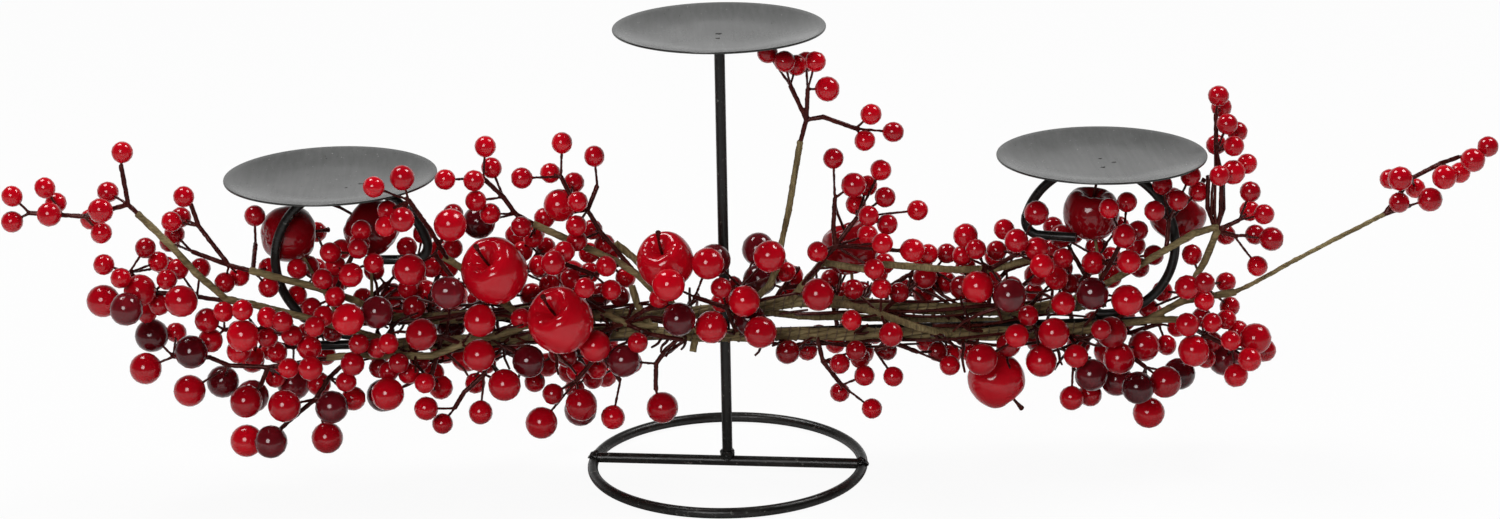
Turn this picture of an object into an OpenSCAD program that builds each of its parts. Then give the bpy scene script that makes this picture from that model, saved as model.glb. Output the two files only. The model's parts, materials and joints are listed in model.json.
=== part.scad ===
/* [Base] */
// Diameter of the base ring, to the middle of its rod
ring_d = 131; // [110:1:170]
// Diameter of the rod of the base and the post
rod_d = 5; // [4:0.5:7]
// How far the base crossbar is turned from the line of the arm, in degrees
crossbar_turn = -10; // [-30:1:30]
// How far the crossbar's middle stands above the ring's middle
crossbar_lift = 1.5; // [0:0.5:2]

/* [Post and arm] */
// Height of the underside of the centre pan
post_h = 215; // [190:1:260]
// Height of the arm at the post
arm_z = 67.5; // [55:0.5:80]
// Diameter of the arm rod
arm_d = 4.5; // [3.5:0.5:6]
// Length of the arm rod
arm_l = 410; // [390:2:440]
// Fall of the arm towards its right end, in degrees
arm_fall = 0.4; // [0:0.1:1]

/* [Loops] */
// Diameter of a loop, to the middle of its wire
loop_d = 74; // [66:1:82]
// Diameter of the loop wire
wire_d = 4.5; // [3.5:0.5:5.5]
// Distance of the left loop from the post
left_loop_x = 176; // [168:1:184]
// Distance of the right loop from the post
right_loop_x = 181; // [172:1:188]
// Turn of the left loop about its upright middle line, in degrees
left_loop_turn = -5; // [-20:1:20]
// Turn of the right loop about its upright middle line, in degrees
right_loop_turn = -20; // [-30:1:10]
// Radius of the tight bend at the loop's free end
scroll_r = 7; // [5:0.5:10]
// Length of the straight tail after the tight bend
tail_l = 18; // [8:1:24]

/* [Candle pans] */
// Diameter of a pan over its rim
pan_d = 100; // [80:1:120]
// Depth of a pan from its rim to its floor
pan_depth = 4.5; // [3:0.5:8]
// Thickness of the pan's sheet
sheet = 1; // [0.8:0.1:2]
// Diameter of the pan's flat floor
floor_d = 54; // [40:1:70]
// How far the left pan is welded off the middle of its loop
left_pan_shift = 8; // [0:0.5:12]

/* [Garland] */
// Diameter of a small berry
small_berry_d = 10.2; // [8:0.2:12]
// Diameter of a middling berry
middle_berry_d = 12; // [10:0.2:14]
// Diameter of a large berry
large_berry_d = 15.6; // [13:0.2:18]
// Diameter of a dark berry
dark_berry_d = 16; // [13:0.2:18]
// Diameter of a berry's own stalk
stalk_d = 1.6; // [1.2:0.1:2.2]
// Diameter of a branchlet
branchlet_d = 2.6; // [2:0.1:3.4]
// Diameter of a paper-wrapped wire stem
stem_d = 3.6; // [3:0.1:4.4]
// Diameter of a bundle of stems laid along the arm
bundle_d = 6.4; // [5:0.2:7.5]
// Diameter of the binding thread
thread_d = 0.8; // [0.5:0.1:1.2]
// Diameter of a small apple
small_apple_d = 28; // [24:0.5:32]
// Diameter of a large apple
large_apple_d = 32; // [28:0.5:36]

/* [Hidden] */
$fn = 48;

// Heights and places of the frame
crossbar_z = rod_d / 2 + crossbar_lift;
arm_y = (rod_d + arm_d) / 2;
loop_r = loop_d / 2;
scroll_from = 165;
bead_r = 3.4;

function arm_at(x) = arm_z - x * tan(arm_fall);
function loop_mid_z(x) = arm_at(x) + (arm_d + wire_d) / 2 + loop_r;
function seat_under(x) = loop_mid_z(x) + loop_r + wire_d / 2;

// The garland is set out as it is seen from this eye point, over an arm at this height.
// A place is given across, up, and how far it stands out from the post towards the eye.
eye = [-80, -1560, 600];
set_out_arm_z = 67.5;
// The tall spray keeps its reach below the centre pan when the post changes
set_out_post_h = 215;
tall_bend = 103;
function lift(v) = tall_bend + (v - tall_bend) * (post_h - tall_bend) / (set_out_post_h - tall_bend);
function lifted(list) = [for (p = list) [for (k = [0:len(p) - 1]) k == 1 ? lift(p[k]) : p[k]]];
function place(p) =
    let (t = p[2] / eye[1])
    [p[0] + t * (p[0] - eye[0]), -p[2], p[1] - t * (eye[2] - p[1]) + arm_z - set_out_arm_z];

// Kinds of berry and the groups they belong to
S = 0;
M = 1;
L = 2;
D = 3;
LEFT = 0;
CENTRE = 1;
RIGHT = 2;
LEFT_TIP = 3;
TALL = 4;
RIGHT_TIP = 5;
OUTER = 6;
berry_r = [small_berry_d / 2, middle_berry_d / 2, large_berry_d / 2, dark_berry_d / 2];

// How deep a stalk runs into its berry, and the room left round a berry
stalk_bite = 1.2;
berry_gap = 0.4;
// The room left where a free spray's stem bends at its root
bend_gap = 0.35;

// Bundles of stems along the arm
front_path = [
    [-172, 69, 1.5], [-120, 70, 2], [-60, 72, 3], [-20, 69.5, 5], [0, 68, 6.6], [20, 68, 6.2],
    [50, 67, 3.5], [90, 65.5, 2], [140, 64, 1.5], [190, 66, 2]
];
rear_path = [
    [-186, 84, -9], [-140, 82, -9], [-95, 83, -8], [-50, 80, -8], [0, 81, -9], [40, 84, -7],
    [90, 79, -7], [140, 76, -8], [184, 79, -9]
];

// Paper-wrapped stems, each from its bound end to its free end
left_paths = [
    [[-160, 83, -6], [-175, 92, 4], [-193.5, 99.5, 8], [-224, 109, 9]],
    [[-33, 74, 7], [-48, 76, 9], [-56, 81, 9], [-93, 77, 10], [-113, 71.5, 12], [-126, 68.5, 12],
        [-141, 63, 12], [-178, 65, 10], [-190, 64, 10]],
    [[-92, 82, -6], [-100, 84, -1], [-110, 92, 4], [-125, 107, 12], [-132, 112, 14]],
    [[-18, 80, -5], [-30, 88, 3], [-42, 101, 8], [-49, 106, 8], [-63, 113.5, 8], [-75, 119.5, 8],
        [-89.5, 127, 8]]
];
centre_paths = [
    [[-36, 75, 6], [-41.5, 85, 8], [-44, 94, 8]],
    [[50, 83, -3], [58, 82, 7], [75, 76, 13], [95, 68, 12], [108, 64.5, 4]],
    [[31, 84, -6], [40, 95, 5], [47, 103, 6], [67, 99, 8], [77, 101, 6], [112, 97, 6], [131, 97, 4],
        [147, 101, 2]],
    [[-14, 69, 6], [-15.5, 61, 8]],
    [[-24, 83, -7], [-30, 94, -1], [-42, 108, 3], [-51, 116, 4]],
    [[16, 80, -9.5], [36, 76.5, -10], [130, 70.5, -10.5], [148, 74.5, -9]]
];
right_paths = [
    [[160, 77, -7], [178, 84, 4], [200, 96, 15], [213, 103.5, 18], [226, 111, 15], [237, 114, 9]],
    [[186, 66, 3], [204, 68, 8], [221, 77, 9], [229, 92, 9], [231.5, 96, 9], [237.5, 112, 8]],
    [[204, 68, 8], [219, 68, 9]]
];
// Free stems that bend at their first point, and the bound stubs they grow from
left_free = [[-236, 95, 13], [-250, 109, 14], [-260, 122, 13], [-274.5, 138.5, 12]];
tall_free = lifted([[26, 103, 4], [27.5, 112, 4], [31.5, 130, 4], [37.3, 162.7, 4]]);
right_free = [[246, 80.5, 6], [255, 84.5, 6], [276, 96, 6], [295.5, 106, 6], [318.5, 117.5, 6]];
left_stub = [[-165, 73, 2], [-180, 78, 7], [-199, 84.5, 10], [-223.5, 92, 10]];
tall_stub = [[10, 81, -9], [22, 93, 0]];
right_stub = [[221, 77, 9], [234, 79, 8]];

// Sprays: the group, the joints as [across, up, out, joint it grows from], then the berries
// as [across, up, out, kind, joint it hangs on]
sprays = [
    [LEFT_TIP,
        [[-274.5, 138.5, 12, 0], [-279, 143.5, 12, 0], [-281, 163, 11, 1], [-300, 138.5, 8, 1],
            [-310, 139.5, 7, 3], [-325, 141, 6, 4]],
        [[-280, 169, 11, S, 2], [-288, 150, 2, S, 1], [-292, 141, 19, M, 3], [-292.5, 130, 8, S, 3],
            [-297, 137, -4, S, 3], [-312.5, 145.5, -2, S, 4], [-317, 153, 4, S, 4], [-316, 140, 16, M, 4],
            [-332.5, 149.5, 5, S, 5], [-333.5, 137, 7, S, 5]]],
    [TALL,
        lifted([[37.3, 162.7, 4, 0], [40.4, 174, 4, 0], [33, 191, 2, 1], [41.2, 188.8, 6, 1], [48.5, 175, 6, 1],
            [63.8, 168.8, 6, 4]]),
        lifted([[22.5, 207, 2, S, 2], [30.5, 202.5, 8, S, 2], [36, 200.5, -4, S, 2], [40.5, 202, -13, S, 3],
            [45, 202, 4, S, 3], [50.5, 188.5, 8, M, 3], [71, 175.5, 8, S, 5], [81.5, 166.5, 6, S, 5],
            [68, 162.7, 8, S, 5]])],
    [RIGHT_TIP,
        [[318.5, 117.5, 6, 0], [331, 135, 4, 0], [345, 142, 5, 1], [354, 145, 5, 2], [331, 121.5, 8, 0]],
        [[320.5, 135, -6, S, 1], [325.5, 135, 12, M, 1], [325.5, 123, 14, S, 4], [333, 130, -8, S, 1],
            [340.5, 124, 12, M, 4], [347, 135, 14, M, 2], [354.5, 137, 0, S, 2], [360.5, 143, 8, M, 3],
            [367.5, 149.5, 2, S, 3]]],
    [OUTER,
        [[-230, 93, 10, 0], [-250, 97, 4, 0], [-270, 100, 4, 1], [-281, 110, 4, 2]],
        [[-257.5, 95, 25, L, 1], [-283.5, 92, 26, D, 2], [-276.5, 101, 14, L, 2], [-294, 96.5, 4, L, 2],
            [-268, 93.5, 14, S, 2], [-272.5, 122, -2, S, 3], [-292.5, 114.5, 3, S, 3], [-285, 107.5, 14, S, 3],
            [-263.5, 106, 15, S, 2], [-267, 115, -7, S, 3], [-263.5, 112.5, -15, S, 3], [-258, 111, -2, S, 1],
            [-247.5, 111, -10, S, 1], [-274, 90, -2, S, 2]]],
    [OUTER,
        [[-223, 108.7, 9, 0], [-234, 112, 5, 0], [-247, 132, 1, 1], [-250, 143, 0, 2], [-251, 119.5, -2, 1],
            [-221, 122, -18, 0]],
        [[-253, 146.5, 0, S, 3], [-259.5, 134.5, 1, S, 2], [-255, 136.5, -9, S, 2], [-258.5, 128.5, -6, S, 4],
            [-261, 124.5, -15, S, 4], [-236.5, 103.5, 3, S, 1], [-229.5, 106.5, -6, S, 1],
            [-215.5, 110, -15, S, 0], [-216, 100.5, 4, S, 0], [-220.5, 136, -18, S, 5]]],
    [OUTER,
        [[-210, 88, 10, 0], [-222, 79, 5, 0], [-238, 80, 6, 1]],
        [[-229.5, 76.5, 25, L, 1], [-238, 89, 17, S, 2], [-229, 89.5, 22, S, 1], [-246, 85, 10, M, 2],
            [-245, 75, 6, M, 2], [-232, 69, 7, M, 1], [-225, 66, -5, S, 1], [-217.5, 85.5, 20, S, 1],
            [-210.5, 83, 19, S, 1], [-206.5, 76, 20, S, 1], [-218, 75.5, 10, S, 1], [-214, 67.5, 0, S, 1],
            [-198.5, 69.5, 18, M, 0]]],
    [OUTER,
        [[-189, 64, 10, 0], [-205, 62, 6, 0], [-218.5, 60.5, 6, 1], [-237, 62, 5, 2], [-246, 66.5, 5, 3],
            [-263, 67.5, 4, 4], [-223, 51, 6, 2]],
        [[-276.5, 62, 4, L, 5], [-254.5, 69.5, 19, D, 4], [-272.5, 78.5, -6, D, 5], [-261, 79.5, -12, S, 5],
            [-256.5, 50, 3, L, 3], [-240.5, 54, -10, D, 3], [-230, 43.5, 14, L, 6], [-227, 46, -8, D, 6],
            [-209, 59.5, 18, S, 2], [-198.5, 59, 20, M, 1], [-215.5, 55, -6, S, 2], [-207, 51.5, -8, D, 2]]],
    [OUTER,
        [[-178, 65, 10, 0], [-190, 54, 7, 0], [-197, 43.5, 8, 1], [-210, 33, 8, 2], [-214.5, 29, 8, 3]],
        [[-178.5, 60.5, 22, M, 0], [-182, 51.5, 20, S, 1], [-195, 51, -2, M, 1], [-175, 70.5, 14, S, 0],
            [-166.5, 68, 13, S, 0], [-212, 40.5, 19, L, 2], [-231, 23.5, 6, L, 4], [-219.5, 22.5, 17, D, 4],
            [-192.5, 23.5, 8, L, 2], [-189.5, 39, 16, D, 2], [-179, 43, -2, M, 1]]],
    [LEFT,
        [[-178, 83.5, -8, 0], [-186, 94, 1, 0], [-180, 107, 3, 1], [-175, 116, 5, 2], [-195, 104, -12, 1]],
        [[-179.5, 83, 28, L, 1], [-165.5, 86, 24, D, 0], [-177, 105, 22, M, 2], [-166, 110.5, 16, S, 2],
            [-186, 116.5, 10, S, 3], [-184, 110, -6, S, 2], [-173, 118, 14, S, 3], [-172, 121, 2, S, 3],
            [-171, 127, 10, S, 3], [-190.5, 103.5, 16, S, 1], [-185, 100, 8, S, 1], [-202, 109, -14, S, 4],
            [-196.5, 110.5, -18, S, 4], [-185, 94.5, 18, S, 1], [-203, 96, -16, S, 4], [-196.5, 89.5, -4, S, 1],
            [-191, 85, 20, S, 1], [-195.5, 80, 22, S, 1], [-187, 77, -3, S, 0]]],
    [LEFT,
        [[-131, 111.3, 14, 0], [-138, 125, 26, 0], [-148, 141, 42, 1]],
        [[-164, 148, 48, S, 2], [-150.5, 152, 45, M, 2], [-158, 136, 31, S, 2], [-159.5, 128.5, 40, S, 2],
            [-151.5, 131.5, 48, M, 2]]],
    [LEFT,
        [[-88.5, 126.5, 8, 0], [-98, 132.5, 9, 0], [-103.5, 141, 10, 1], [-112.5, 150.5, 10, 2]],
        [[-111, 166, 10, S, 3], [-108.5, 155.5, 1, S, 2], [-117, 149.5, 19, S, 3], [-130.5, 150.5, 19, S, 3],
            [-116.5, 139.5, 17, S, 2], [-110, 133, 16, S, 1], [-115.5, 129, -6, D, 1], [-95.5, 126, 18, S, 1],
            [-90, 120.5, -3, S, 0], [-95.5, 114, -4, S, 0]]],
    [LEFT,
        [[-110, 92, 4, 0], [-128, 100, 12, 0], [-137, 114, 15, 1]],
        [[-129, 128, 30, L, 2], [-127.5, 133.5, 3, S, 2], [-149, 106.5, 28, L, 2], [-131.5, 94.5, 30, D, 1]]],
    [LEFT,
        [[-126, 68.5, 12, 0], [-135, 73, 10, 0], [-151, 65, 6, 1], [-141, 54, 7, 1]],
        [[-145, 74, 28, L, 1], [-117, 80, 30, L, 0], [-131, 79, -16, D, 1], [-118, 62.5, 27, L, 0],
            [-161, 70, 18, S, 2], [-156.5, 60, 20, S, 2], [-166, 58, -2, S, 2], [-161.5, 56, 8, S, 2],
            [-152, 54.5, 16, S, 3], [-144.5, 49.5, 19, S, 3], [-137, 47, -2, M, 3], [-162.5, 44.5, 14, L, 3],
            [-165, 44, -8, D, 3]]],
    [LEFT,
        [[-113, 71, 12, 0], [-116, 53, 7, 0], [-126, 44, 9, 1], [-131, 36, 8, 2]],
        [[-106.5, 47, 24, L, 1], [-94.5, 58.5, 20, D, 0], [-144.5, 36.5, 16, M, 3], [-137, 28.5, 7, S, 3],
            [-118.5, 33.5, 8, M, 1], [-120.5, 48.5, -3, S, 1], [-97.5, 80.5, 2, S, 0]]],
    [CENTRE,
        [[-42, 101, 8, 0], [-58, 122, 6, 0], [-64, 133, 7, 1], [-72, 141, 10, 2], [-76, 150, 10, 3],
            [-59, 145, 3, 2]],
        [[-75, 166.5, 10, S, 4], [-94.5, 150, 12, S, 4], [-81, 152, -1, S, 4], [-60, 159.5, 3, S, 5],
            [-70, 147, -4, S, 3], [-68.5, 137.5, 21, S, 3], [-77, 136, 4, L, 3], [-84.5, 130, -6, S, 2],
            [-69.5, 125.5, 21, S, 2], [-69.5, 118, 18, S, 1], [-62, 123.5, -6, S, 1], [-56.5, 116, -8, S, 1]]],
    [CENTRE,
        [[-49, 106, 8, 0], [-62, 101, 12, 0], [-76, 107, 13, 1]],
        [[-75.5, 113, 21, S, 2], [-81, 107.5, 26, M, 2], [-88, 106.5, 6, S, 2], [-56, 105, 19, S, 1],
            [-64, 102, 0, S, 1], [-73, 99.5, 2, S, 1], [-66.5, 94.5, 19, S, 1], [-54, 93, 18, S, 1]]],
    [CENTRE,
        [[-52, 78.5, 9, 0], [-60, 62, 7, 0], [-72, 48, 7, 1], [-51, 47, 5, 1]],
        [[-62.5, 65, 20, L, 1], [-72, 53, -2, S, 2], [-62, 53.5, -6, S, 1], [-89.5, 27, 8, L, 2],
            [-83.5, 41.5, 10, S, 2], [-70, 35.5, 18, L, 2], [-70.5, 33, -6, D, 2], [-55, 28.5, 6, M, 3]]],
    [CENTRE,
        [[-20, 69.5, 6, 0], [-29, 61.5, 8, 0], [-33.5, 55, 8, 1], [-34, 41.5, 7, 2]],
        [[-31, 32.5, 7, L, 3], [-49, 57, 20, D, 2]]],
    [CENTRE,
        [[6, 68, 7, 0], [1, 82, 14, 0], [8, 92, 13, 1], [-14, 88, 16, 1]],
        [[-26.5, 94.5, 36, L, 3], [-22, 77, 30, D, 3], [-7.5, 104.5, 30, L, 3], [-4.5, 106, 11, D, 2],
            [-1.5, 92, 26, S, 1], [-1.5, 85, -4, S, 1], [4, 93, 1, S, 2], [9.5, 85, 28, L, 1],
            [12, 75.5, 22, D, 0], [17, 69, 18, L, 0], [-6.5, 72.5, 25, L, 0], [16.5, 111, -6, D, 2],
            [22, 107, 24, L, 2], [29.5, 99, -8, S, 2]]],
    [CENTRE,
        [[35, 89, -1, 0], [44, 100, 12, 0], [53.5, 111, 14, 1], [52.7, 120, 13, 2], [53.5, 135, 12, 3],
            [64, 125, 11, 2]],
        [[53, 154.5, 12, S, 4], [62.5, 141, 20, M, 4], [69, 140.5, 3, S, 5], [75.5, 148, 8, S, 5],
            [77.5, 134.5, 16, S, 5], [63.5, 131.5, 1, S, 5], [69.5, 125.5, 22, S, 5], [93, 127.5, 6, S, 5],
            [78.5, 121, 18, S, 5], [76, 111.5, 22, S, 2], [69, 116, 4, S, 2], [90.5, 107.5, 13, M, 2],
            [98, 105.5, 1, S, 2], [72, 99, 20, S, 2], [77, 101.5, -6, S, 1], [45, 108.5, 19, S, 2],
            [45, 87, 28, L, 1]]],
    [CENTRE,
        [[75, 76, 13, 0], [83, 60.5, 10, 0], [93, 56, 8, 1], [72, 58, 8, 1]],
        [[75.5, 89, 16, S, 0], [84, 86.5, 4, S, 0], [62, 89, 3, S, 0], [61, 73.5, 18, S, 0], [80, 65.5, 26, M, 0],
            [96.5, 94, -8, M, 0], [78, 57.5, -3, S, 1], [81, 44, 10, S, 3], [108.5, 48.7, 8, S, 2],
            [102.5, 56, -2, S, 2]]],
    [CENTRE,
        [[44, 66.5, 6, 0], [47, 53, 5, 0], [56, 40.5, 4, 1]],
        [[30, 58.5, 8, M, 0], [39.5, 59, -6, S, 0], [55, 51.5, 14, S, 1], [63, 58, 14, S, 1], [65, 54, -3, S, 1],
            [67, 45, 6, S, 2], [70.5, 28, 4, S, 2], [55, 37, -8, S, 2]]],
    [RIGHT,
        [[128, 97, 5, 0], [125, 99, 10, 0], [141, 104, 9, 0]],
        [[140.5, 110.5, 19, M, 2], [116, 114, 6, M, 1], [134.5, 116.5, -4, S, 2], [121, 107, 19, S, 1],
            [114.5, 104, 8, S, 1], [131, 106, -2, S, 2], [150.5, 106, 21, M, 2], [150, 124, 10, M, 2],
            [153, 97.5, 24, M, 2], [163, 101, 6, S, 2], [122, 88, 21, L, 1], [128.5, 91, -6, S, 1],
            [137.5, 83, 26, D, 0]]],
    [RIGHT,
        [[146, 76, -7, 0], [153, 84, 6, 0], [150, 66, 9, 0]],
        [[163.5, 78, 22, M, 1], [160, 91, 0, M, 1], [166, 88, -10, S, 1], [146.5, 72.5, 21, S, 2],
            [141, 62.5, 26, M, 2], [137, 58, 12, M, 2], [124, 51, 26, L, 2], [159, 63, 26, L, 2],
            [153, 60.5, -10, L, 2], [153, 49, 12, L, 2]]],
    [RIGHT,
        [[180, 65.5, 2, 0], [172, 54, 8, 0], [168.5, 46, 8, 1], [192, 54, 8, 0], [204, 44, 8, 3]],
        [[170, 51, 21, M, 1], [168, 29.5, 9, M, 2], [177.5, 41, 19, D, 1], [177, 31, -2, M, 2], [182, 64, 26, S, 0],
            [187, 62.5, 13, L, 3], [203, 55, -4, L, 3], [191, 49, 18, L, 3], [200.5, 33.5, 26, D, 4],
            [190, 38, -2, D, 3], [206, 20.5, 8, L, 4], [214, 36, 18, L, 4], [220.5, 40, -4, D, 4]]],
    [RIGHT,
        [[178, 84, 4, 0], [186, 97, 9, 0], [192, 110, 10, 1]],
        [[177.5, 82.5, 26, D, 0], [178, 98, 0, M, 1], [192.5, 111, 22, M, 2], [199, 113.5, 6, S, 2],
            [195, 98, 24, M, 1], [194.5, 78.5, 26, L, 0], [185, 125, 22, S, 2], [193.5, 128, 2, S, 2],
            [162, 112, -16, M, 1]]],
    [RIGHT,
        [[213, 103.5, 18, 0], [214, 118, 15, 0]],
        [[207, 123, 22, S, 1], [218, 128, 18, S, 1], [210.5, 136, 8, S, 1], [224, 140, 6, S, 1],
            [228, 132, 4, S, 1]]],
    [RIGHT,
        [[218, 68, 9, 0], [232, 60, 8, 0], [246, 52, 8, 1]],
        [[227.5, 51.5, 22, L, 1], [233.5, 47.5, 4, S, 1], [224, 65, 21, M, 1], [236, 65.5, 18, S, 1],
            [243, 67, 2, S, 1], [231, 68.5, -3, S, 1], [245.5, 56, 21, S, 2], [249, 61, 4, S, 2],
            [257.5, 56.5, 10, L, 2], [262, 50.5, -6, M, 2], [255, 46, 14, M, 2], [248.5, 38, 14, M, 2],
            [242.5, 46.5, -8, D, 2], [236.5, 56, -8, S, 1]]],
    [RIGHT,
        [[223, 81, 9, 0], [231, 85, 7, 0]],
        [[244.5, 73.5, -6, S, 1], [223.5, 84, 20, M, 0], [232, 86, 18, S, 1], [242.3, 86, -8, S, 1],
            [232, 77, 20, S, 1], [225.5, 100.5, 2, S, 1], [211.5, 82.5, -8, S, 0], [205, 74, -6, S, 0]]],
    [RIGHT,
        [[237, 112, 8, 0], [239, 121, 8, 0], [239, 136, 8, 1], [236, 151.5, 7, 2], [235.5, 170, 6, 3],
            [248, 117, 8, 0], [245.5, 109.5, 8, 0], [232.5, 124, 6, 0], [232.5, 140, 6, 7]],
        [[236.5, 179, 6, S, 4], [238, 173.5, -5, S, 4], [241, 165, 15, S, 3], [246, 161, -1, S, 3],
            [244.5, 154, 14, S, 3], [236, 155, -8, S, 3], [251, 145, 2, S, 2], [244.5, 141, 14, M, 2],
            [238, 139.5, 22, S, 2], [253, 131, 8, S, 5], [260, 119.5, 14, S, 5], [253, 121.5, -3, S, 5],
            [264, 107, 12, M, 6], [256, 109.5, 0, S, 6], [257.5, 93.5, 14, S, 6], [241.5, 110, -6, S, 0]]],
    [LEFT,
        [[-166, 83.1, -9, 0], [-170, 92, -15, 0], [-161, 100, -16, 1]],
        [[-172, 93.5, -24, S, 1], [-158, 94.5, -24, M, 2], [-166, 107, -22, S, 2], [-150.5, 97, -14, S, 2],
            [-153, 106, -20, S, 2]]],
    [LEFT,
        [[-141, 82, -9, 0], [-140, 93, -15, 0], [-136, 103, -15, 1], [-145, 113, -14, 2]],
        [[-142, 95.5, -24, M, 1], [-139, 107.5, -6, S, 2], [-131, 107, -8, S, 2], [-142, 124.5, -10, S, 3],
            [-128.5, 116.5, -8, S, 2], [-150, 118, -16, S, 3], [-129.5, 93, -20, L, 1], [-135, 116, -22, S, 3]]],
    [LEFT,
        [[-107, 82.7, -8, 0], [-104, 92, -14, 0], [-95, 103, -15, 1], [-88, 113, -15, 2]],
        [[-92, 92, -22, M, 1], [-83.5, 97, -22, S, 2], [-87.5, 105.5, -5, S, 2], [-84.5, 115.5, -24, S, 3],
            [-98.5, 122, -18, S, 3], [-89.5, 122.5, -6, S, 3], [-79.5, 110.5, -18, S, 3], [-104, 104, -24, M, 2],
            [-112, 99, -16, S, 1], [-117, 90, -22, M, 1]]],
    [CENTRE,
        [[-62, 80.5, -8, 0], [-66, 91, -14, 0], [-64, 100, -15, 1], [-55, 106, -15, 2]],
        [[-73, 101, -20, L, 1], [-59, 91, -22, M, 1], [-72, 90, -24, S, 1], [-54, 111, -22, S, 3],
            [-47, 99, -18, S, 3], [-64, 112, -18, S, 3], [-50, 89.5, -18, S, 1]]],
    [LEFT,
        [[-160, 82.8, -9, 0], [-158, 72, -15, 0], [-166, 64, -16, 1], [-148, 62, -15, 1], [-136, 60, -16, 3]],
        [[-173, 72, -22, S, 2], [-165.5, 66, -26, M, 2], [-146.5, 60.5, -6, S, 3], [-134, 67, -22, L, 4],
            [-124, 62.5, -22, L, 4], [-140, 54.5, -10, S, 3], [-154, 66, -25, S, 3], [-178.5, 61, -18, S, 2]]],
    [LEFT,
        [[-112, 82.6, -8.4, 0], [-110, 72, -15, 0], [-104, 63, -15, 1], [-92, 56, -13, 2]],
        [[-115, 58, -10, S, 2], [-101.5, 69.5, -24, M, 2], [-96.5, 61.5, -6, S, 2], [-86, 56.5, -20, M, 3],
            [-92, 48, -6, S, 3], [-80, 62, -18, S, 3], [-112, 63.5, -24, S, 2]]],
    [CENTRE,
        [[-66, 80.7, -8.2, 0], [-66, 71, -15, 0], [-62, 60, -15, 1], [-54, 53, -12, 2]],
        [[-72, 67, -24, S, 1], [-64, 48.5, -18, S, 3], [-53, 61, -20, S, 2], [-76, 60, -12, S, 2],
            [-45, 56, -12, S, 3], [-57, 68, -23, M, 1]]],
    [OUTER,
        [[-180, 83.7, -9, 0], [-192, 76, -16, 0], [-206, 70, -16, 1], [-220, 74, -14, 2]],
        [[-231.5, 79.5, -18, S, 3], [-217, 69, -24, S, 2], [-199.5, 77, -24, S, 1], [-191, 65.5, -18, S, 1],
            [-207, 58, -20, S, 2], [-185.5, 78, -26, S, 1], [-226, 64, -18, M, 3], [-199, 87, -22, S, 1],
            [-212, 81, -20, S, 3]]],
    [CENTRE,
        [[78, 80.2, -7, 0], [78, 89, -13, 0], [88, 95, -15, 1], [101, 97, -15, 2]],
        [[95.5, 102, -20, S, 2], [106, 91, -22, M, 3], [86, 88.5, -22, S, 1], [74, 97, -22, S, 1],
            [66, 88, -18, S, 1], [107, 105.5, -18, S, 3], [96, 86, -18, M, 2], [114, 88, -14, M, 3],
            [116, 99, -20, S, 3]]],
    [RIGHT,
        [[127, 76.6, -7.8, 0], [128, 87, -14, 0], [136, 96, -16, 1], [148, 100, -18, 2]],
        [[123, 94, -22, S, 1], [138, 87, -22, M, 1], [130, 103, -20, S, 2], [140.5, 107, -24, S, 2],
            [150, 93, -26, M, 3], [158, 106, -26, M, 3], [120, 81.5, -20, M, 1], [149, 84, -20, S, 1]]],
    [RIGHT,
        [[172, 78.2, -8.7, 0], [171, 88, -16, 0], [178, 97, -20, 1], [190, 100, -20, 2]],
        [[163, 96, -24, S, 1], [178.5, 106, -30, S, 2], [186, 91, -26, M, 2], [198, 106, -26, S, 3],
            [200, 95, -22, S, 3], [170, 88, -28, S, 1], [207, 101, -20, S, 3]]],
    [CENTRE,
        [[52, 82.6, -7, 0], [54, 71, -15, 0], [60, 62, -15, 1]],
        [[53, 62, -22, S, 1], [66, 57, -16, M, 2], [45, 67, -20, S, 1], [72, 66, -20, S, 2], [60, 72, -24, S, 1]]],
    [CENTRE,
        [[100, 78.4, -7.2, 0], [101, 69, -15, 0], [106, 61, -14, 1]],
        [[97, 61, -20, S, 1], [109, 54, -12, S, 2], [116, 64, -20, M, 2], [90, 69, -20, S, 1],
            [118, 55.5, -18, S, 2]]],
    [RIGHT,
        [[166, 77.9, -8.5, 0], [168, 68, -16, 0], [178, 61, -18, 1], [196, 62, -18, 2], [210, 66, -16, 3]],
        [[158.5, 64, -24, M, 1], [171, 57, -26, M, 2], [178.5, 68, -28, M, 2], [186, 53, -22, L, 2],
            [193, 69, -27, M, 3], [207, 72, -25, S, 4], [219, 64, -20, S, 4], [203, 56, -26, M, 3],
            [214, 55, -18, S, 4]]],
    [CENTRE,
        [[22, 82.6, -8, 0], [28, 91, -14, 0], [41, 92, -15, 1], [52, 90.5, -16, 2], [36, 101, -15, 1],
            [47, 88, -15, 2]],
        [[17, 95.5, -18, D, 1], [23.5, 101, -18, D, 4], [33, 97, -22, S, 4], [41, 90, -22, M, 2],
            [51, 94.5, -21, S, 3], [57.5, 88, -20, S, 5], [30, 87.5, -22, S, 1]]],
    [CENTRE,
        [[-48, 76, 9, 0], [-38, 82.5, 15, 0], [-22, 84.5, 13, 1], [-36, 70, 15, 0], [-20, 66.5, 15, 3],
            [-62, 71, 16, 0]],
        [[-31, 88, 18, S, 1], [-42, 66, 20, S, 3]]],
    [LEFT,
        [[-150, 82.4, -9, 0], [-151, 89, -15, 0], [-142, 91, -15, 1]],
        [[-156, 88.5, -21, M, 1], [-148, 88, -22, M, 1], [-139.5, 88.5, -21, S, 2], [-146, 101, -22, S, 2]]],
    [CENTRE,
        [[-70, 81, -8, 0], [-71, 70, -17, 0], [-70, 59, -20, 1], [-66, 51, -21, 2]],
        [[-75, 53, -25, M, 2], [-66, 56, -26, M, 3], [-58, 50, -22, M, 3], [-73, 44, -20, S, 3]]],
    [RIGHT,
        [[177, 78.5, -9, 0], [174, 92, -22, 0], [166, 106, -27, 1], [184, 108, -28, 1]],
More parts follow.
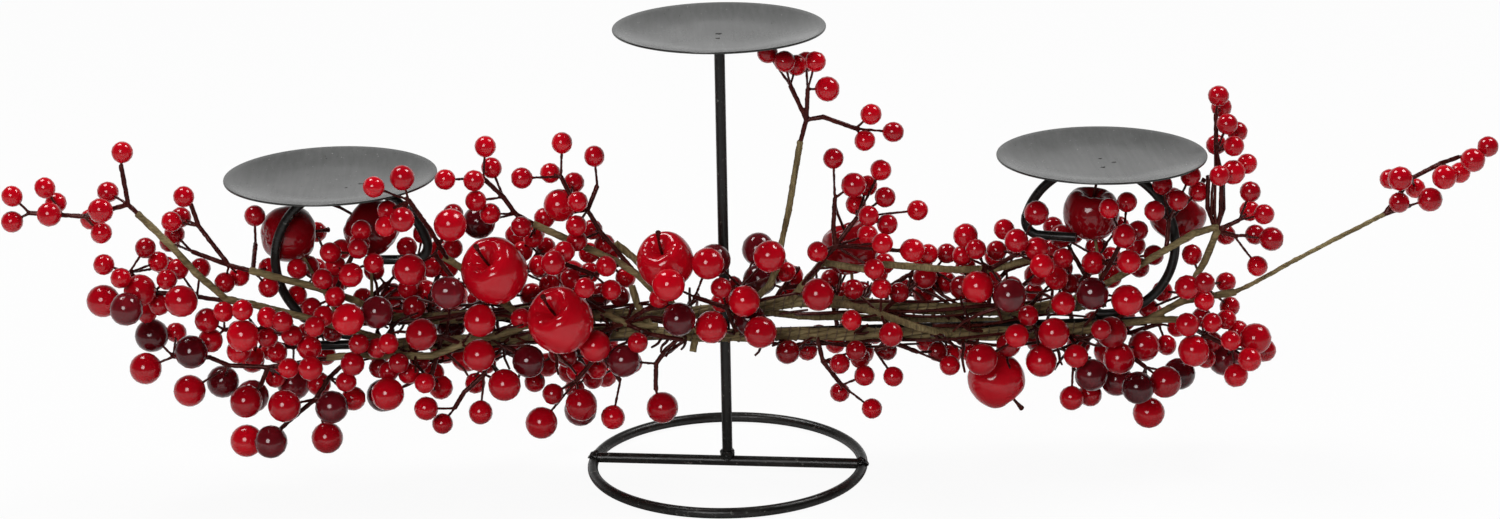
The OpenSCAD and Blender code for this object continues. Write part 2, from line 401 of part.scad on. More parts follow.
        [[158, 117, -30, S, 2], [168, 113, -33, S, 2], [178, 112, -36, S, 3], [190, 116, -30, S, 3],
            [186, 100, -34, M, 1]]],
    [LEFT,
        [[-184, 83.9, -9, 0], [-188, 100, -20, 0], [-184, 112, -24, 1], [-190, 120, -28, 2]],
        [[-181, 118, -28, S, 2], [-193, 109, -28, S, 1], [-183, 103, -26, M, 1], [-192, 127, -30, S, 3]]]
];

// Apples: the group, [across, up, out], size, the way the stalk points and where the pick is bound
apples = [
    [LEFT, [-204.5, 126.5, -24], small_apple_d, [0.85, 0.45, -0.1], [-184, 84, -9]],
    [LEFT, [-166.5, 129, -20], small_apple_d, [-0.8, 0.3, 0.5], [-168, 83, -9]],
    [LEFT, [-109.5, 105, 24], large_apple_d, [-0.4, -0.6, 0.7], [-101, 84.5, -1]],
    [LEFT, [-79, 79, 28], large_apple_d, [-0.4, -0.6, 0.7], [-70, 79, 9]],
    [CENTRE, [-28, 107, 14], small_apple_d, [-0.25, -0.5, 0.8], [-30, 88, 3]],
    [CENTRE, [60.5, 111, -14], small_apple_d, [-0.3, 0.1, 0.9], [62, 82, -7]],
    [RIGHT, [176.5, 124, -18], small_apple_d, [0.1, -0.1, 1], [183, 79, -9]],
    [RIGHT, [218.5, 121, -22], small_apple_d, [0.6, 0.1, 0.7], [212, 103, 17.5]],
    [RIGHT, [131.5, 40, 5], small_apple_d, [0.6, 0.1, -0.75], [132, 64, 2]]
];

// Small helpers on lists of places
function placed(path) = [for (p = path) place(p)];
function along(points, step) = [
    for (i = [0:len(points) - 2])
        let (a = points[i], b = points[i + 1], n = ceil(norm(b - a) / step))
        for (k = [0:n - 1]) a + (b - a) * k / n
];
function balls(points, d) = [for (p = along(points, 3.5)) [p, d / 2]];
function loop_outline() =
    let (m = (loop_r - scroll_r) * [cos(scroll_from), sin(scroll_from)])
    concat(
        [for (a = [-90:5:scroll_from]) loop_r * [cos(a), sin(a)]],
        [for (a = [scroll_from:15:270]) m + scroll_r * [cos(a), sin(a)]],
        [for (t = [0:3:tail_l]) m + [t, -scroll_r]]);
function loop_points(x, turn, side) =
    [for (p = loop_outline())
        [side * x, arm_y, loop_mid_z(side * x)] + [side * p[0] * cos(turn), side * p[0] * sin(turn), p[1]]];
function towards(a, b, far) = a + (b - a) / norm(b - a) * far;

// The stubs end just short of the points where the free stems bend
function short_of(free, stub) =
    let (h = place(free[0]), s = placed(stub))
    concat(s, [towards(h, s[len(s) - 1], stem_d * 0.7 + 0.15 + bend_gap)]);
left_stub_path = short_of(left_free, left_stub);
tall_stub_path = short_of(tall_free, tall_stub);
right_stub_path = short_of(right_free, right_stub);

// Everything a berry has to keep clear of, as balls of [middle, radius]
obstacles = concat(
    [for (x = [-arm_l / 2:3.5:arm_l / 2]) [[x, arm_y, arm_at(x)], arm_d / 2]],
    [for (z = [0:3.5:post_h]) [[0, 0, z], rod_d / 2]],
    [for (p = loop_points(left_loop_x, left_loop_turn, -1)) [p, wire_d / 2]],
    [for (p = loop_points(right_loop_x, right_loop_turn, 1)) [p, wire_d / 2]],
    [for (a = apples) [place(a[1]), a[2] / 2]],
    [for (a = apples) each balls([place(a[1]), place(a[4])], stalk_d)],
    balls(placed(front_path), bundle_d + 2 * thread_d),
    balls(placed(rear_path), bundle_d + 2 * thread_d),
    [for (p = concat(left_paths, centre_paths, right_paths, [left_free, tall_free, right_free]))
        each balls(placed(p), stem_d)],
    [for (p = [left_stub_path, tall_stub_path, right_stub_path]) each balls(p, stem_d)]
);

// Each berry starts at its own place and slides along the line of sight until it is clear
picks = [
    for (n = [0:len(sprays) - 1])
        for (b = sprays[n][2]) [sprays[n][0], b, place(sprays[n][1][b[4]]), n]
];
function slid(b, k) = place([b[0], b[1], b[2] + (k % 2 == 0 ? -1 : 1) * ceil(k / 2)]);
function free_spot(b, r, others, k) =
    let (c = slid(b, k), hits = [for (o = others) if (norm(c - o[0]) < r + o[1] + berry_gap) 1])
    len(hits) == 0 || k > 70 ? [c, r] : free_spot(b, r, others, k + 1);
function near(b, list) =
    let (c = place(b))
    [for (o = list) if (abs(o[0][0] - c[0]) < 28 && abs(o[0][2] - c[2]) < 38) o];
function settle(i, done) =
    i == len(picks) ? done :
    let (b = picks[i][1], others = concat(near(b, obstacles), near(b, done)))
    settle(i + 1, concat(done, [free_spot(b, berry_r[b[3]], others, 0)]));
spots = settle(0, []);

// Shared shapes
module rod(a, b, d, sides = 48) {
    v = b - a;
    translate(a)
        rotate([0, acos(v[2] / norm(v)), atan2(v[1], v[0])])
            cylinder(h = norm(v), d = d, $fn = sides);
}

// A flat-sided stick that runs a little past its first end, so that it roots in what it grows from
module stick(a, b, d, sides) {
    rod(towards(a, b, -d * 0.3), b, d, sides);
}

module chain(points, d) {
    union() {
        for (i = [0:len(points) - 2])
            rod(points[i], points[i + 1], d);
        for (p = points)
            translate(p) sphere(d = d + 0.3);
    }
}

// A wrapped stem as flat-sided lengths that run a little past each bend
module wrapped(points, d) {
    union()
        for (i = [0:len(points) - 2]) {
            a = points[i];
            b = points[i + 1];
            rod(towards(a, b, -d * 0.2), towards(b, a, -d * 0.2), d, 12);
        }
}

module pan() {
    floor_r = floor_d / 2;
    rim_r = pan_d / 2;
    steps = 9;
    rise = [for (k = [0:steps]) [floor_r + (rim_r - floor_r) * k / steps, pan_depth * pow(k / steps, 1.7)]];
    top = concat([[0, sheet]], [for (p = rise) p + [0, sheet]]);
    under = concat([for (k = [0:steps]) rise[steps - k]], [[0, 0]]);
    color("dimgray") rotate_extrude() polygon(concat(top, under));
}

module scroll_loop() {
    rotate([90, 0, 0]) {
        rotate_extrude(angle = scroll_from + 90, start = -90)
            translate([loop_r, 0]) circle(d = wire_d);
        translate(loop_r * [cos(scroll_from), sin(scroll_from), 0]) sphere(d = wire_d + 0.2);
        translate((loop_r - scroll_r) * [cos(scroll_from), sin(scroll_from), 0]) {
            rotate_extrude(angle = 270 - scroll_from, start = scroll_from)
                translate([scroll_r, 0]) circle(d = wire_d);
            translate([0, -scroll_r, 0]) {
                sphere(d = wire_d + 0.2);
                rotate([0, 90, 0]) cylinder(h = tail_l, d = wire_d);
            }
        }
    }
}

module apple(d) {
    r = d / 2;
    function skin(a) =
        let (rho = r * (1 - 0.36 * exp(-pow(a / 25, 2)) - 0.07 * exp(-pow((180 - a) / 18, 2))))
        [max(rho * sin(a), 0), rho * cos(a)];
    rotate_extrude() polygon([for (a = [0:7.5:180]) a == 0 || a == 180 ? [0, skin(a)[1]] : skin(a)]);
}

module facing(v) {
    rotate([0, acos(v[2] / norm(v)), atan2(v[1], v[0])]) children();
}

module twigs(group) {
    color("maroon")
        for (n = [for (k = [0:len(sprays) - 1]) if (sprays[k][0] == group) k]) {
            s = sprays[n];
            joints = placed(s[1]);
            union() {
                for (k = [1:len(joints) - 1])
                    stick(joints[s[1][k][3]], joints[k], branchlet_d, 8);
                for (i = [0:len(picks) - 1])
                    if (picks[i][3] == n)
                        stalk(i);
            }
        }
}

module stalk(i) {
    stick(picks[i][2], towards(spots[i][0], picks[i][2], spots[i][1] - stalk_bite), stalk_d, 6);
}

module berries(group, kinds) {
    for (i = [0:len(picks) - 1])
        if (picks[i][0] == group && len([for (k = kinds) if (k == picks[i][1][3]) 1]) > 0)
            color(picks[i][1][3] == D ? "#4a1020" : "crimson")
                translate(spots[i][0]) sphere(r = spots[i][1]);
}

// Frame
module base_ring() {
    color("black")
        translate([0, 0, rod_d / 2]) rotate_extrude() translate([ring_d / 2, 0]) circle(d = rod_d);
}

module crossbar_rod() {
    rotate([0, 90, crossbar_turn]) cylinder(h = ring_d, d = rod_d, center = true);
}

module base_crossbar() {
    color("black")
        difference() {
            translate([0, 0, crossbar_z]) crossbar_rod();
            base_ring();
        }
}

module centre_post() {
    foot_z = crossbar_z + rod_d / 2;
    color("black")
        translate([0, 0, foot_z]) cylinder(h = post_h - foot_z, d = rod_d);
}

module arm_rod() {
    color("black")
        translate([0, arm_y, arm_z])
            rotate([0, 90 + arm_fall, 0]) cylinder(h = arm_l, d = arm_d, center = true);
}

module left_loop() {
    color("black")
        translate([-left_loop_x, arm_y, loop_mid_z(-left_loop_x)])
            rotate([0, 0, left_loop_turn]) mirror([1, 0, 0]) scroll_loop();
}

module right_loop() {
    color("black")
        translate([right_loop_x, arm_y, loop_mid_z(right_loop_x)])
            rotate([0, 0, right_loop_turn]) scroll_loop();
}

module centre_pan() {
    translate([0, 0, post_h]) pan();
}

module left_pan() {
    translate([-left_loop_x - left_pan_shift, 0, seat_under(-left_loop_x)]) pan();
}

module right_pan() {
    translate([right_loop_x, 0, seat_under(right_loop_x)]) pan();
}

// A lump of weld at p, cut away where the welded pieces run through it
module bead(p, r) {
    difference() {
        translate(p) sphere(r = r);
        children();
    }
}

module over(z) {
    translate([-400, -100, z]) cube([800, 200, 60]);
}

module weld_beads() {
    color("black") {
        bead([0, 0, crossbar_z + rod_d / 2 + 0.4], bead_r + 0.6) {
            centre_post();
            base_crossbar();
        }
        for (side = [-1, 1]) {
            bead([side * 2.4, arm_y / 2 + 0.4, arm_z], bead_r - 0.8) {
                centre_post();
                arm_rod();
            }
            bead(ring_d / 2 * [side * cos(crossbar_turn), side * sin(crossbar_turn), 0]
                + [0, 0, crossbar_z + 0.6], bead_r) {
                base_ring();
                base_crossbar();
            }
        }
        bead([-left_loop_x, arm_y, arm_at(-left_loop_x) + arm_d / 2], bead_r - 0.4) {
            arm_rod();
            left_loop();
        }
        bead([right_loop_x, arm_y, arm_at(right_loop_x) + arm_d / 2], bead_r - 0.4) {
            arm_rod();
            right_loop();
        }
        bead([-left_loop_x, arm_y, seat_under(-left_loop_x) - 1], bead_r) {
            left_loop();
            over(seat_under(-left_loop_x));
        }
        bead([right_loop_x, arm_y, seat_under(right_loop_x) - 1], bead_r) {
            right_loop();
            over(seat_under(right_loop_x));
        }
        bead([0, 0, post_h - 1], bead_r + 0.4) {
            centre_post();
            over(post_h);
        }
    }
}

// Garland
module front_bundle() {
    color("olive") wrapped(placed(front_path), bundle_d);
}

module rear_bundle() {
    color("olive") wrapped(placed(rear_path), bundle_d);
}

module thread_turn(path, i, f) {
    a = place(path[i]);
    b = place(path[i + 1]);
    translate(a + (b - a) * f)
        facing(b - a)
            rotate_extrude() translate([(bundle_d + thread_d) / 2 + 0.02, 0]) circle(d = thread_d, $fn = 24);
}

module binding_thread() {
    color("saddlebrown") {
        for (i = [0, 1, 5, 6, 7])
            for (f = [0.4, 0.5, 0.6])
                thread_turn(front_path, i, f);
        for (i = [0, 2, 4, 5, 6])
            for (f = [0.4, 0.5, 0.6])
                thread_turn(rear_path, i, f);
    }
}

module left_stems() {
    color("olive") {
        for (p = left_paths)
            wrapped(placed(p), stem_d);
        wrapped(left_stub_path, stem_d);
    }
}

module centre_stems() {
    color("olive") {
        for (p = centre_paths)
            wrapped(placed(p), stem_d);
        wrapped(tall_stub_path, stem_d);
    }
}

module right_stems() {
    color("olive") {
        for (p = right_paths)
            wrapped(placed(p), stem_d);
        wrapped(right_stub_path, stem_d);
    }
}

module fruit(group) {
    for (a = apples)
        if (a[0] == group)
            color("red") translate(place(a[1])) facing(a[3]) apple(a[2]);
}

module apple_stalks() {
    color("maroon")
        for (a = apples)
            translate(place(a[1])) facing(a[3]) {
                translate([0, 0, a[2] * 0.31]) cylinder(h = a[2] * 0.36, d = stalk_d + 0.3);
                translate([0, 0, a[2] * 0.67]) sphere(d = stalk_d + 1.2);
            }
}

module apple_picks() {
    color("olive")
        for (a = apples) {
            c = place(a[1]);
            e = place(a[4]);
            rod(towards(c, e, a[2] / 2 - 2), e, stalk_d);
        }
}

module outer_branchlets() {
    twigs(OUTER);
}

module left_branchlets() {
    twigs(LEFT);
}

module left_small_berries() {
    berries(LEFT, [S]);
    berries(OUTER, [S]);
}

module left_middle_berries() {
    berries(LEFT, [M]);
    berries(OUTER, [M]);
}

module left_large_berries() {
    berries(LEFT, [L]);
    berries(OUTER, [L]);
}

module left_dark_berries() {
    berries(LEFT, [D]);
    berries(OUTER, [D]);
}

module centre_branchlets() {
    twigs(CENTRE);
}

module centre_small_berries() {
    berries(CENTRE, [S]);
}

module centre_middle_berries() {
    berries(CENTRE, [M]);
}

module centre_large_berries() {
    berries(CENTRE, [L]);
}

module centre_dark_berries() {
    berries(CENTRE, [D]);
}

module right_branchlets() {
    twigs(RIGHT);
}

module right_small_berries() {
    berries(RIGHT, [S]);
}

module right_middle_berries() {
    berries(RIGHT, [M]);
}

module right_large_berries() {
    berries(RIGHT, [L]);
}

module right_dark_berries() {
    berries(RIGHT, [D]);
}

module left_apples() {
    fruit(LEFT);
}

module centre_apples() {
    fruit(CENTRE);
}

module right_apples() {
    fruit(RIGHT);
}

// Free sprays
module left_spray_stem() {
    color("olive") chain(placed(left_free), stem_d);
}

module left_spray_branchlet() {
    twigs(LEFT_TIP);
}

module left_spray_berries() {
    berries(LEFT_TIP, [S, M]);
}

module tall_spray_stem() {
    color("olive") chain(placed(tall_free), stem_d);
}

module tall_spray_branchlet() {
    twigs(TALL);
}

module tall_spray_berries() {
    berries(TALL, [S, M]);
}

module right_spray_stem() {
    color("olive") chain(placed(right_free), stem_d);
}

module right_spray_branchlet() {
    twigs(RIGHT_TIP);
}

module right_spray_berries() {
    berries(RIGHT_TIP, [S, M]);
}

base_ring();
base_crossbar();
centre_post();
arm_rod();
left_loop();
right_loop();
centre_pan();
left_pan();
right_pan();
weld_beads();
front_bundle();
rear_bundle();
binding_thread();
left_stems();
centre_stems();
right_stems();
outer_branchlets();
left_branchlets();
left_small_berries();
left_middle_berries();
left_large_berries();
left_dark_berries();
centre_branchlets();
centre_small_berries();
centre_middle_berries();
centre_large_berries();
centre_dark_berries();
right_branchlets();
right_small_berries();
right_middle_berries();
right_large_berries();
right_dark_berries();
left_apples();
centre_apples();
right_apples();
apple_stalks();
apple_picks();
left_spray_stem();
left_spray_branchlet();
left_spray_berries();
tall_spray_stem();
tall_spray_branchlet();
tall_spray_berries();
right_spray_stem();
right_spray_branchlet();
right_spray_berries();
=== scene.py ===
import bpy
import bmesh
import json
import math
import random
from mathutils import Matrix, Vector, kdtree


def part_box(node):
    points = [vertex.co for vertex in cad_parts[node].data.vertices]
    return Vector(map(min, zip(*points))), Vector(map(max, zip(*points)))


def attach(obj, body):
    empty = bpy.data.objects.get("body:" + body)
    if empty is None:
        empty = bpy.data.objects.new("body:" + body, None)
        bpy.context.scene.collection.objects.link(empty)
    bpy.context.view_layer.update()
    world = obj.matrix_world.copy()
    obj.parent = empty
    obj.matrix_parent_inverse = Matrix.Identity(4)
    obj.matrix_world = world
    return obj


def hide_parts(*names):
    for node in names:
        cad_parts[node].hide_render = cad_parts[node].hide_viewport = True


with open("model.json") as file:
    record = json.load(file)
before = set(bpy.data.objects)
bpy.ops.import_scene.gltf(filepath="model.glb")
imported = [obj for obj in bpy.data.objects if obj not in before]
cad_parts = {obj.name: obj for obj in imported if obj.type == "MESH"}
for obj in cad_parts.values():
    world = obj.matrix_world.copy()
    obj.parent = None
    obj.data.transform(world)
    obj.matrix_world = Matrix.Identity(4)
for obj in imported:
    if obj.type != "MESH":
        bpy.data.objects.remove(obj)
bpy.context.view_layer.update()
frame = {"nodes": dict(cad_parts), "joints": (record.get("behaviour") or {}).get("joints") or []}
nodes = frame["nodes"]
scene = bpy.context.scene
scene.view_settings.view_transform = "Standard"
millimetre = 0.001
fullTurn = 2 * math.pi
mergeGap = 0.004 * millimetre  # corners closer than this are one
dice = random.Random(24)
print("frame loaded,", len(nodes), "nodes")


# everyday helpers
def deselectAll():
    if bpy.context.mode != "OBJECT":
        bpy.ops.object.mode_set(mode="OBJECT")
    bpy.ops.object.select_all(action="DESELECT")


def pickUp(piece):
    deselectAll()
    piece.select_set(True)
    bpy.context.view_layer.objects.active = piece


def applyModifier(piece, kind, **settings):
    pickUp(piece)
    modifier = piece.modifiers.new(kind.title(), kind)
    for key, value in settings.items():
        setattr(modifier, key, value)
    bpy.ops.object.modifier_apply(modifier=modifier.name)


def soften(piece, voxel, rounds):
    applyModifier(piece, "REMESH", mode="VOXEL", voxel_size=voxel * millimetre)
    applyModifier(piece, "SMOOTH", factor=0.5, iterations=rounds)


def slim(piece, by):
    applyModifier(piece, "DISPLACE", strength=-by * millimetre, mid_level=0)


def roughen(piece, texture, height, middle):
    applyModifier(piece, "DISPLACE", texture=texture, strength=height * millimetre, mid_level=middle)


def lumpTexture(name, size):
    texture = bpy.data.textures.new(name, "CLOUDS")
    texture.noise_scale = size * millimetre
    texture.noise_depth = 2
    return texture


def mergedCopy(nodeName, pieceName):
    piece = bpy.data.objects.new(pieceName, nodes[nodeName].data.copy())
    piece.data.materials.clear()
    scene.collection.objects.link(piece)
    pickUp(piece)
    bpy.ops.mesh.customdata_custom_splitnormals_clear()
    bpy.ops.object.mode_set(mode="EDIT")
    bpy.ops.mesh.select_all(action="SELECT")
    bpy.ops.mesh.remove_doubles(threshold=mergeGap)
    bpy.ops.object.mode_set(mode="OBJECT")
    return piece


def joinAll(parts, pieceName):
    deselectAll()
    for part in parts:
        part.select_set(True)
    bpy.context.view_layer.objects.active = parts[0]
    if len(parts) > 1:
        bpy.ops.object.join()
    parts[0].name = pieceName
    parts[0].data.name = pieceName
    return parts[0]


def smoothShade(piece, degrees=60):
    pickUp(piece)
    bpy.ops.object.shade_smooth_by_angle(angle=math.radians(degrees))


def handOver(piece, body, slot, material, *replaced):
    piece.data.materials.clear()
    piece.data.materials.append(material)
    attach(piece, body)
    if replaced:
        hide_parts(*replaced)


def islandsOf(nodeName):  # centre and half height of each loose solid in a node
    probe = mergedCopy(nodeName, "probe")
    pickUp(probe)
    bpy.ops.object.mode_set(mode="EDIT")
    bpy.ops.mesh.select_all(action="SELECT")
    bpy.ops.mesh.separate(type="LOOSE")
    bpy.ops.object.mode_set(mode="OBJECT")
    found = []
    for part in bpy.context.selected_objects:
        places = [v.co for v in part.data.vertices]
        low = Vector([min(p[k] for p in places) for k in range(3)])
        high = Vector([max(p[k] for p in places) for k in range(3)])
        found.append(((low + high) / 2, (high.z - low.z) / 2))
    bpy.ops.object.delete()
    found.sort(key=lambda island: tuple(round(c, 6) for c in island[0]))
    return found


def spinProfile(pieceName, profile, steps, unit, gap):
    mesh = bpy.data.meshes.new(pieceName)
    edges = [(k, k + 1) for k in range(len(profile) - 1)]
    mesh.from_pydata([(r * unit, 0, z * unit) for r, z in profile], edges, [])
    piece = bpy.data.objects.new(pieceName, mesh)
    scene.collection.objects.link(piece)
    pickUp(piece)
    bpy.ops.object.mode_set(mode="EDIT")
    bpy.ops.mesh.select_all(action="SELECT")
    bpy.ops.mesh.spin(steps=steps, angle=fullTurn, center=(0, 0, 0), axis=(0, 0, 1))
    bpy.ops.mesh.select_all(action="SELECT")
    bpy.ops.mesh.remove_doubles(threshold=gap)
    bpy.ops.mesh.normals_make_consistent(inside=False)
    bpy.ops.object.mode_set(mode="OBJECT")
    return piece


def tubes(paths, diameter, pieceName, sides=2, taper=None):
    curve = bpy.data.curves.new(pieceName, "CURVE")
    curve.dimensions = "3D"
    curve.bevel_depth = diameter / 2 * millimetre
    curve.bevel_resolution = sides
    curve.use_fill_caps = True
    for path in paths:
        spline = curve.splines.new("POLY")
        spline.points.add(len(path) - 1)
        for k, (point, place) in enumerate(zip(spline.points, path)):
            point.co = (*place, 1)
            if taper:
                point.radius = taper(k / (len(path) - 1))
    piece = bpy.data.objects.new(pieceName, curve)
    scene.collection.objects.link(piece)
    pickUp(piece)
    bpy.ops.object.convert(target="MESH")
    return bpy.context.object


def treeOf(places):
    tree = kdtree.KDTree(len(places))
    for k, place in enumerate(places):
        tree.insert(place, k)
    tree.balance()
    return tree


# camera
camera = {"place": (-0.0774, -1.5581, 0.5964), "heading": 3.306, "down": 17.449, "lean": -1.014, "lens": 82.31}
cameraData = bpy.data.cameras.new("photoCamera")
cameraData.sensor_width = 36
cameraData.sensor_fit = "HORIZONTAL"
cameraData.lens = camera["lens"]
cameraObject = bpy.data.objects.new("photoCamera", cameraData)
scene.collection.objects.link(cameraObject)
turn = Matrix.Rotation(math.radians(-camera["heading"]), 4, "Z")
turn = turn @ Matrix.Rotation(math.radians(90 - camera["down"]), 4, "X")
turn = turn @ Matrix.Rotation(math.radians(camera["lean"]), 4, "Z")
cameraObject.matrix_world = Matrix.Translation(camera["place"]) @ turn
scene.camera = cameraObject

eye = {"across": -80, "away": 1560, "up": 600}  # about where the camera stands, in millimetres


def spot(across, up, out):  # a place set out on the picture plane, moved along the line of sight
    t = -out / eye["away"]
    return Vector((across + t * (across - eye["across"]), -out, up - t * (eye["up"] - up))) * millimetre


# material helpers
def newMaterial(name, **sockets):
    material = bpy.data.materials.new(name)
    material.use_nodes = True
    tree = material.node_tree
    shader = tree.nodes["Principled BSDF"]
    for key, value in sockets.items():
        shader.inputs[key.replace("_", " ")].default_value = value
    return material, tree, shader


def objectPlace(tree, stretch=(1, 1, 1)):
    coords = tree.nodes.new("ShaderNodeTexCoord")
    mapping = tree.nodes.new("ShaderNodeMapping")
    mapping.inputs["Scale"].default_value = stretch
    tree.links.new(coords.outputs["Object"], mapping.inputs["Vector"])
    return mapping.outputs["Vector"]


def ownAttribute(tree, name):
    node = tree.nodes.new("ShaderNodeAttribute")
    node.attribute_name = name
    return node.outputs["Fac"]


def noise(tree, where, scale, detail=4, rough=0.55, twist=0):
    node = tree.nodes.new("ShaderNodeTexNoise")
    node.inputs["Scale"].default_value = scale
    node.inputs["Detail"].default_value = detail
    node.inputs["Roughness"].default_value = rough
    node.inputs["Distortion"].default_value = twist
    tree.links.new(where, node.inputs["Vector"])
    return node.outputs["Fac"]


def ramp(tree, value, stops):
    node = tree.nodes.new("ShaderNodeValToRGB")
    bar = node.color_ramp.elements
    while len(bar) < len(stops):
        bar.new(0.5)
    for element, (at, colour) in zip(bar, stops):
        element.position = at
        element.color = (*colour, 1)
    tree.links.new(value, node.inputs["Fac"])
    return node.outputs["Color"]


def blendColours(tree, factor, first, second, mode="MIX"):
    node = tree.nodes.new("ShaderNodeMix")
    node.data_type = "RGBA"
    node.blend_type = mode
    # inputs 0, 6 and 7 are the factor and the two colours, and output 2 is the blend
    for link, socket in ((factor, node.inputs[0]), (first, node.inputs[6]), (second, node.inputs[7])):
        if isinstance(link, (int, float)):
            socket.default_value = link
        else:
            tree.links.new(link, socket)
    return node.outputs[2]


def grey(value):
    return (value, value, value)


def layer(tree, where, look):  # a noise, coloured by its stops
    return ramp(tree, noise(tree, where, *look["grain"]), look["stops"])


def dress(tree, shader, where, colour, look):
    tree.links.new(colour, shader.inputs["Base Color"])
    if "roughness" in look:
        tree.links.new(layer(tree, where, look["roughness"]), shader.inputs["Roughness"])
    dents = tree.nodes.new("ShaderNodeBump")
    dents.inputs["Strength"].default_value = look["dents"]["strength"]
    dents.inputs["Distance"].default_value = look["dents"]["distance"]
    tree.links.new(noise(tree, where, *look["dents"]["grain"]), dents.inputs["Height"])
    tree.links.new(dents.outputs["Normal"], shader.inputs["Normal"])


# black paint on the rods, with pale scuffs
steelLook = {
    "gloss": 0.34,
    "paint": {
        "grain": (55, 5),
        "stops": [(0.3, (0.004, 0.004, 0.003)), (0.55, (0.009, 0.008, 0.007)), (0.8, (0.020, 0.018, 0.015))],
    },
    "scuffs": {"grain": (420, 3, 0.7), "stops": [(0.62, grey(0)), (0.72, grey(1))]},
    "worn": {"grain": (130, 3), "stops": [(0.3, (0.030, 0.031, 0.026)), (0.7, (0.190, 0.190, 0.170))]},
    "roughness": {"grain": (90, 4), "stops": [(0.3, grey(0.24)), (0.75, grey(0.42))]},
    "dents": {"grain": (420, 5), "strength": 0.35, "distance": 0.0004},
}


def makeBlackSteel():
    material, tree, shader = newMaterial("blackSteelPaint", Specular_IOR_Level=steelLook["gloss"])
    where = objectPlace(tree)
    paint, scuffs, worn = (layer(tree, where, steelLook[name]) for name in ("paint", "scuffs", "worn"))
    dress(tree, shader, where, blendColours(tree, scuffs, paint, worn), steelLook)
    return material


# satin grey on the pans, darker below and along the lip
panLook = {
    "gloss": 0.5, "brushing": (1, 0.06, 1),
    "satin": {
        "grain": (26, 5),
        "stops": [(0.25, (0.100, 0.102, 0.100)), (0.55, (0.127, 0.129, 0.127)), (0.85, (0.154, 0.156, 0.153))],
    },
    "streaks": {"grain": (420, 3, 0.6), "stops": [(0.3, grey(0.82)), (0.7, grey(1.0))]},
    "specks": {"grain": (1100, 1, 0.3), "stops": [(0.74, grey(0)), (0.78, grey(1))]},
    "flecks": {"grain": (300, 2), "stops": [(0.45, (0.015, 0.015, 0.015)), (0.6, (0.40, 0.40, 0.39))]},
    "under": {"grain": (60, 4), "stops": [(0.3, (0.010, 0.010, 0.009)), (0.7, (0.026, 0.026, 0.023))]},
    "roughness": {"grain": (40, 5), "stops": [(0.3, grey(0.20)), (0.75, grey(0.28))]},
    "dents": {"grain": (900, 3), "strength": 0.06, "distance": 0.0002},
}


def makePanSteel():
    material, tree, shader = newMaterial("satinPanSteel", Specular_IOR_Level=panLook["gloss"])
    where = objectPlace(tree)
    streaks = layer(tree, objectPlace(tree, panLook["brushing"]), panLook["streaks"])
    satin = blendColours(tree, 1.0, layer(tree, where, panLook["satin"]), streaks, "MULTIPLY")
    specks, flecks, under = (layer(tree, where, panLook[name]) for name in ("specks", "flecks", "under"))
    satin = blendColours(tree, specks, satin, flecks)
    dress(tree, shader, where, blendColours(tree, ownAttribute(tree, "edge"), satin, under), panLook)
    return material


# lacquer, from a deep to a bright tone by each fruit's own attribute, which also carries painted shade
lacquerLook = {
    "roughness": {"grain": (200, 2), "stops": [(0.3, grey(0.07)), (0.75, grey(0.16))]},
    "dents": {"grain": (190, 1), "strength": 0.09, "distance": 0.0003},
}
lacquers = {
    "redBerryLacquer": {
        "deep": (0.14, 0.001, 0.003), "middle": (0.41, 0.001, 0.008), "bright": (0.62, 0.002, 0.011),
        "grain": (120, 3, 0.5, 0.3), "gloss": 0.46, "mottle": 0.10,
    },
    "darkBerryLacquer": {
        "deep": (0.022, 0.001, 0.002), "middle": (0.080, 0.002, 0.005), "bright": (0.190, 0.008, 0.014),
        "grain": (120, 3, 0.5, 0.3), "gloss": 0.50, "mottle": 0.40,
    },
    "appleLacquer": {
        "deep": (0.17, 0.002, 0.005), "middle": (0.46, 0.002, 0.009), "bright": (0.62, 0.003, 0.013),
        "grain": (60, 3, 0.5, 0.3), "gloss": 0.46, "mottle": 0.10,
    },
}


def makeLacquer(name):
    look = lacquers[name]
    material, tree, shader = newMaterial(name, Specular_IOR_Level=look["gloss"])
    where = objectPlace(tree)
    tones = [(0.0, look["deep"]), (0.45, look["middle"]), (1.0, look["bright"])]
    mottling = [(0.25, grey(1 - look["mottle"])), (0.6, grey(1.0)), (0.75, grey(1 + look["mottle"]))]
    body = ramp(tree, ownAttribute(tree, "tone"), tones)
    cloud = layer(tree, where, {"grain": look["grain"], "stops": mottling})
    dress(tree, shader, where, blendColours(tree, 1.0, body, cloud, "MULTIPLY"), lacquerLook)
    return material


# varnished bark
twigLook = {
    "gloss": 0.24, "glossTint": (1.0, 0.55, 0.5, 1.0),
    "bark": {
        "grain": (160, 5),
        "stops": [(0.3, (0.026, 0.003, 0.003)), (0.55, (0.050, 0.007, 0.006)), (0.8, (0.105, 0.024, 0.017))],
    },
    "roughness": {"grain": (300, 4), "stops": [(0.3, grey(0.16)), (0.75, grey(0.36))]},
    "dents": {"grain": (900, 4), "strength": 0.35, "distance": 0.0003},
}


def makeDarkTwig():
    gloss = {"Specular_IOR_Level": twigLook["gloss"], "Specular_Tint": twigLook["glossTint"]}
    material, tree, shader = newMaterial("darkTwigVarnish", **gloss)
    where = objectPlace(tree)
    dress(tree, shader, where, layer(tree, where, twigLook["bark"]), twigLook)
    return material


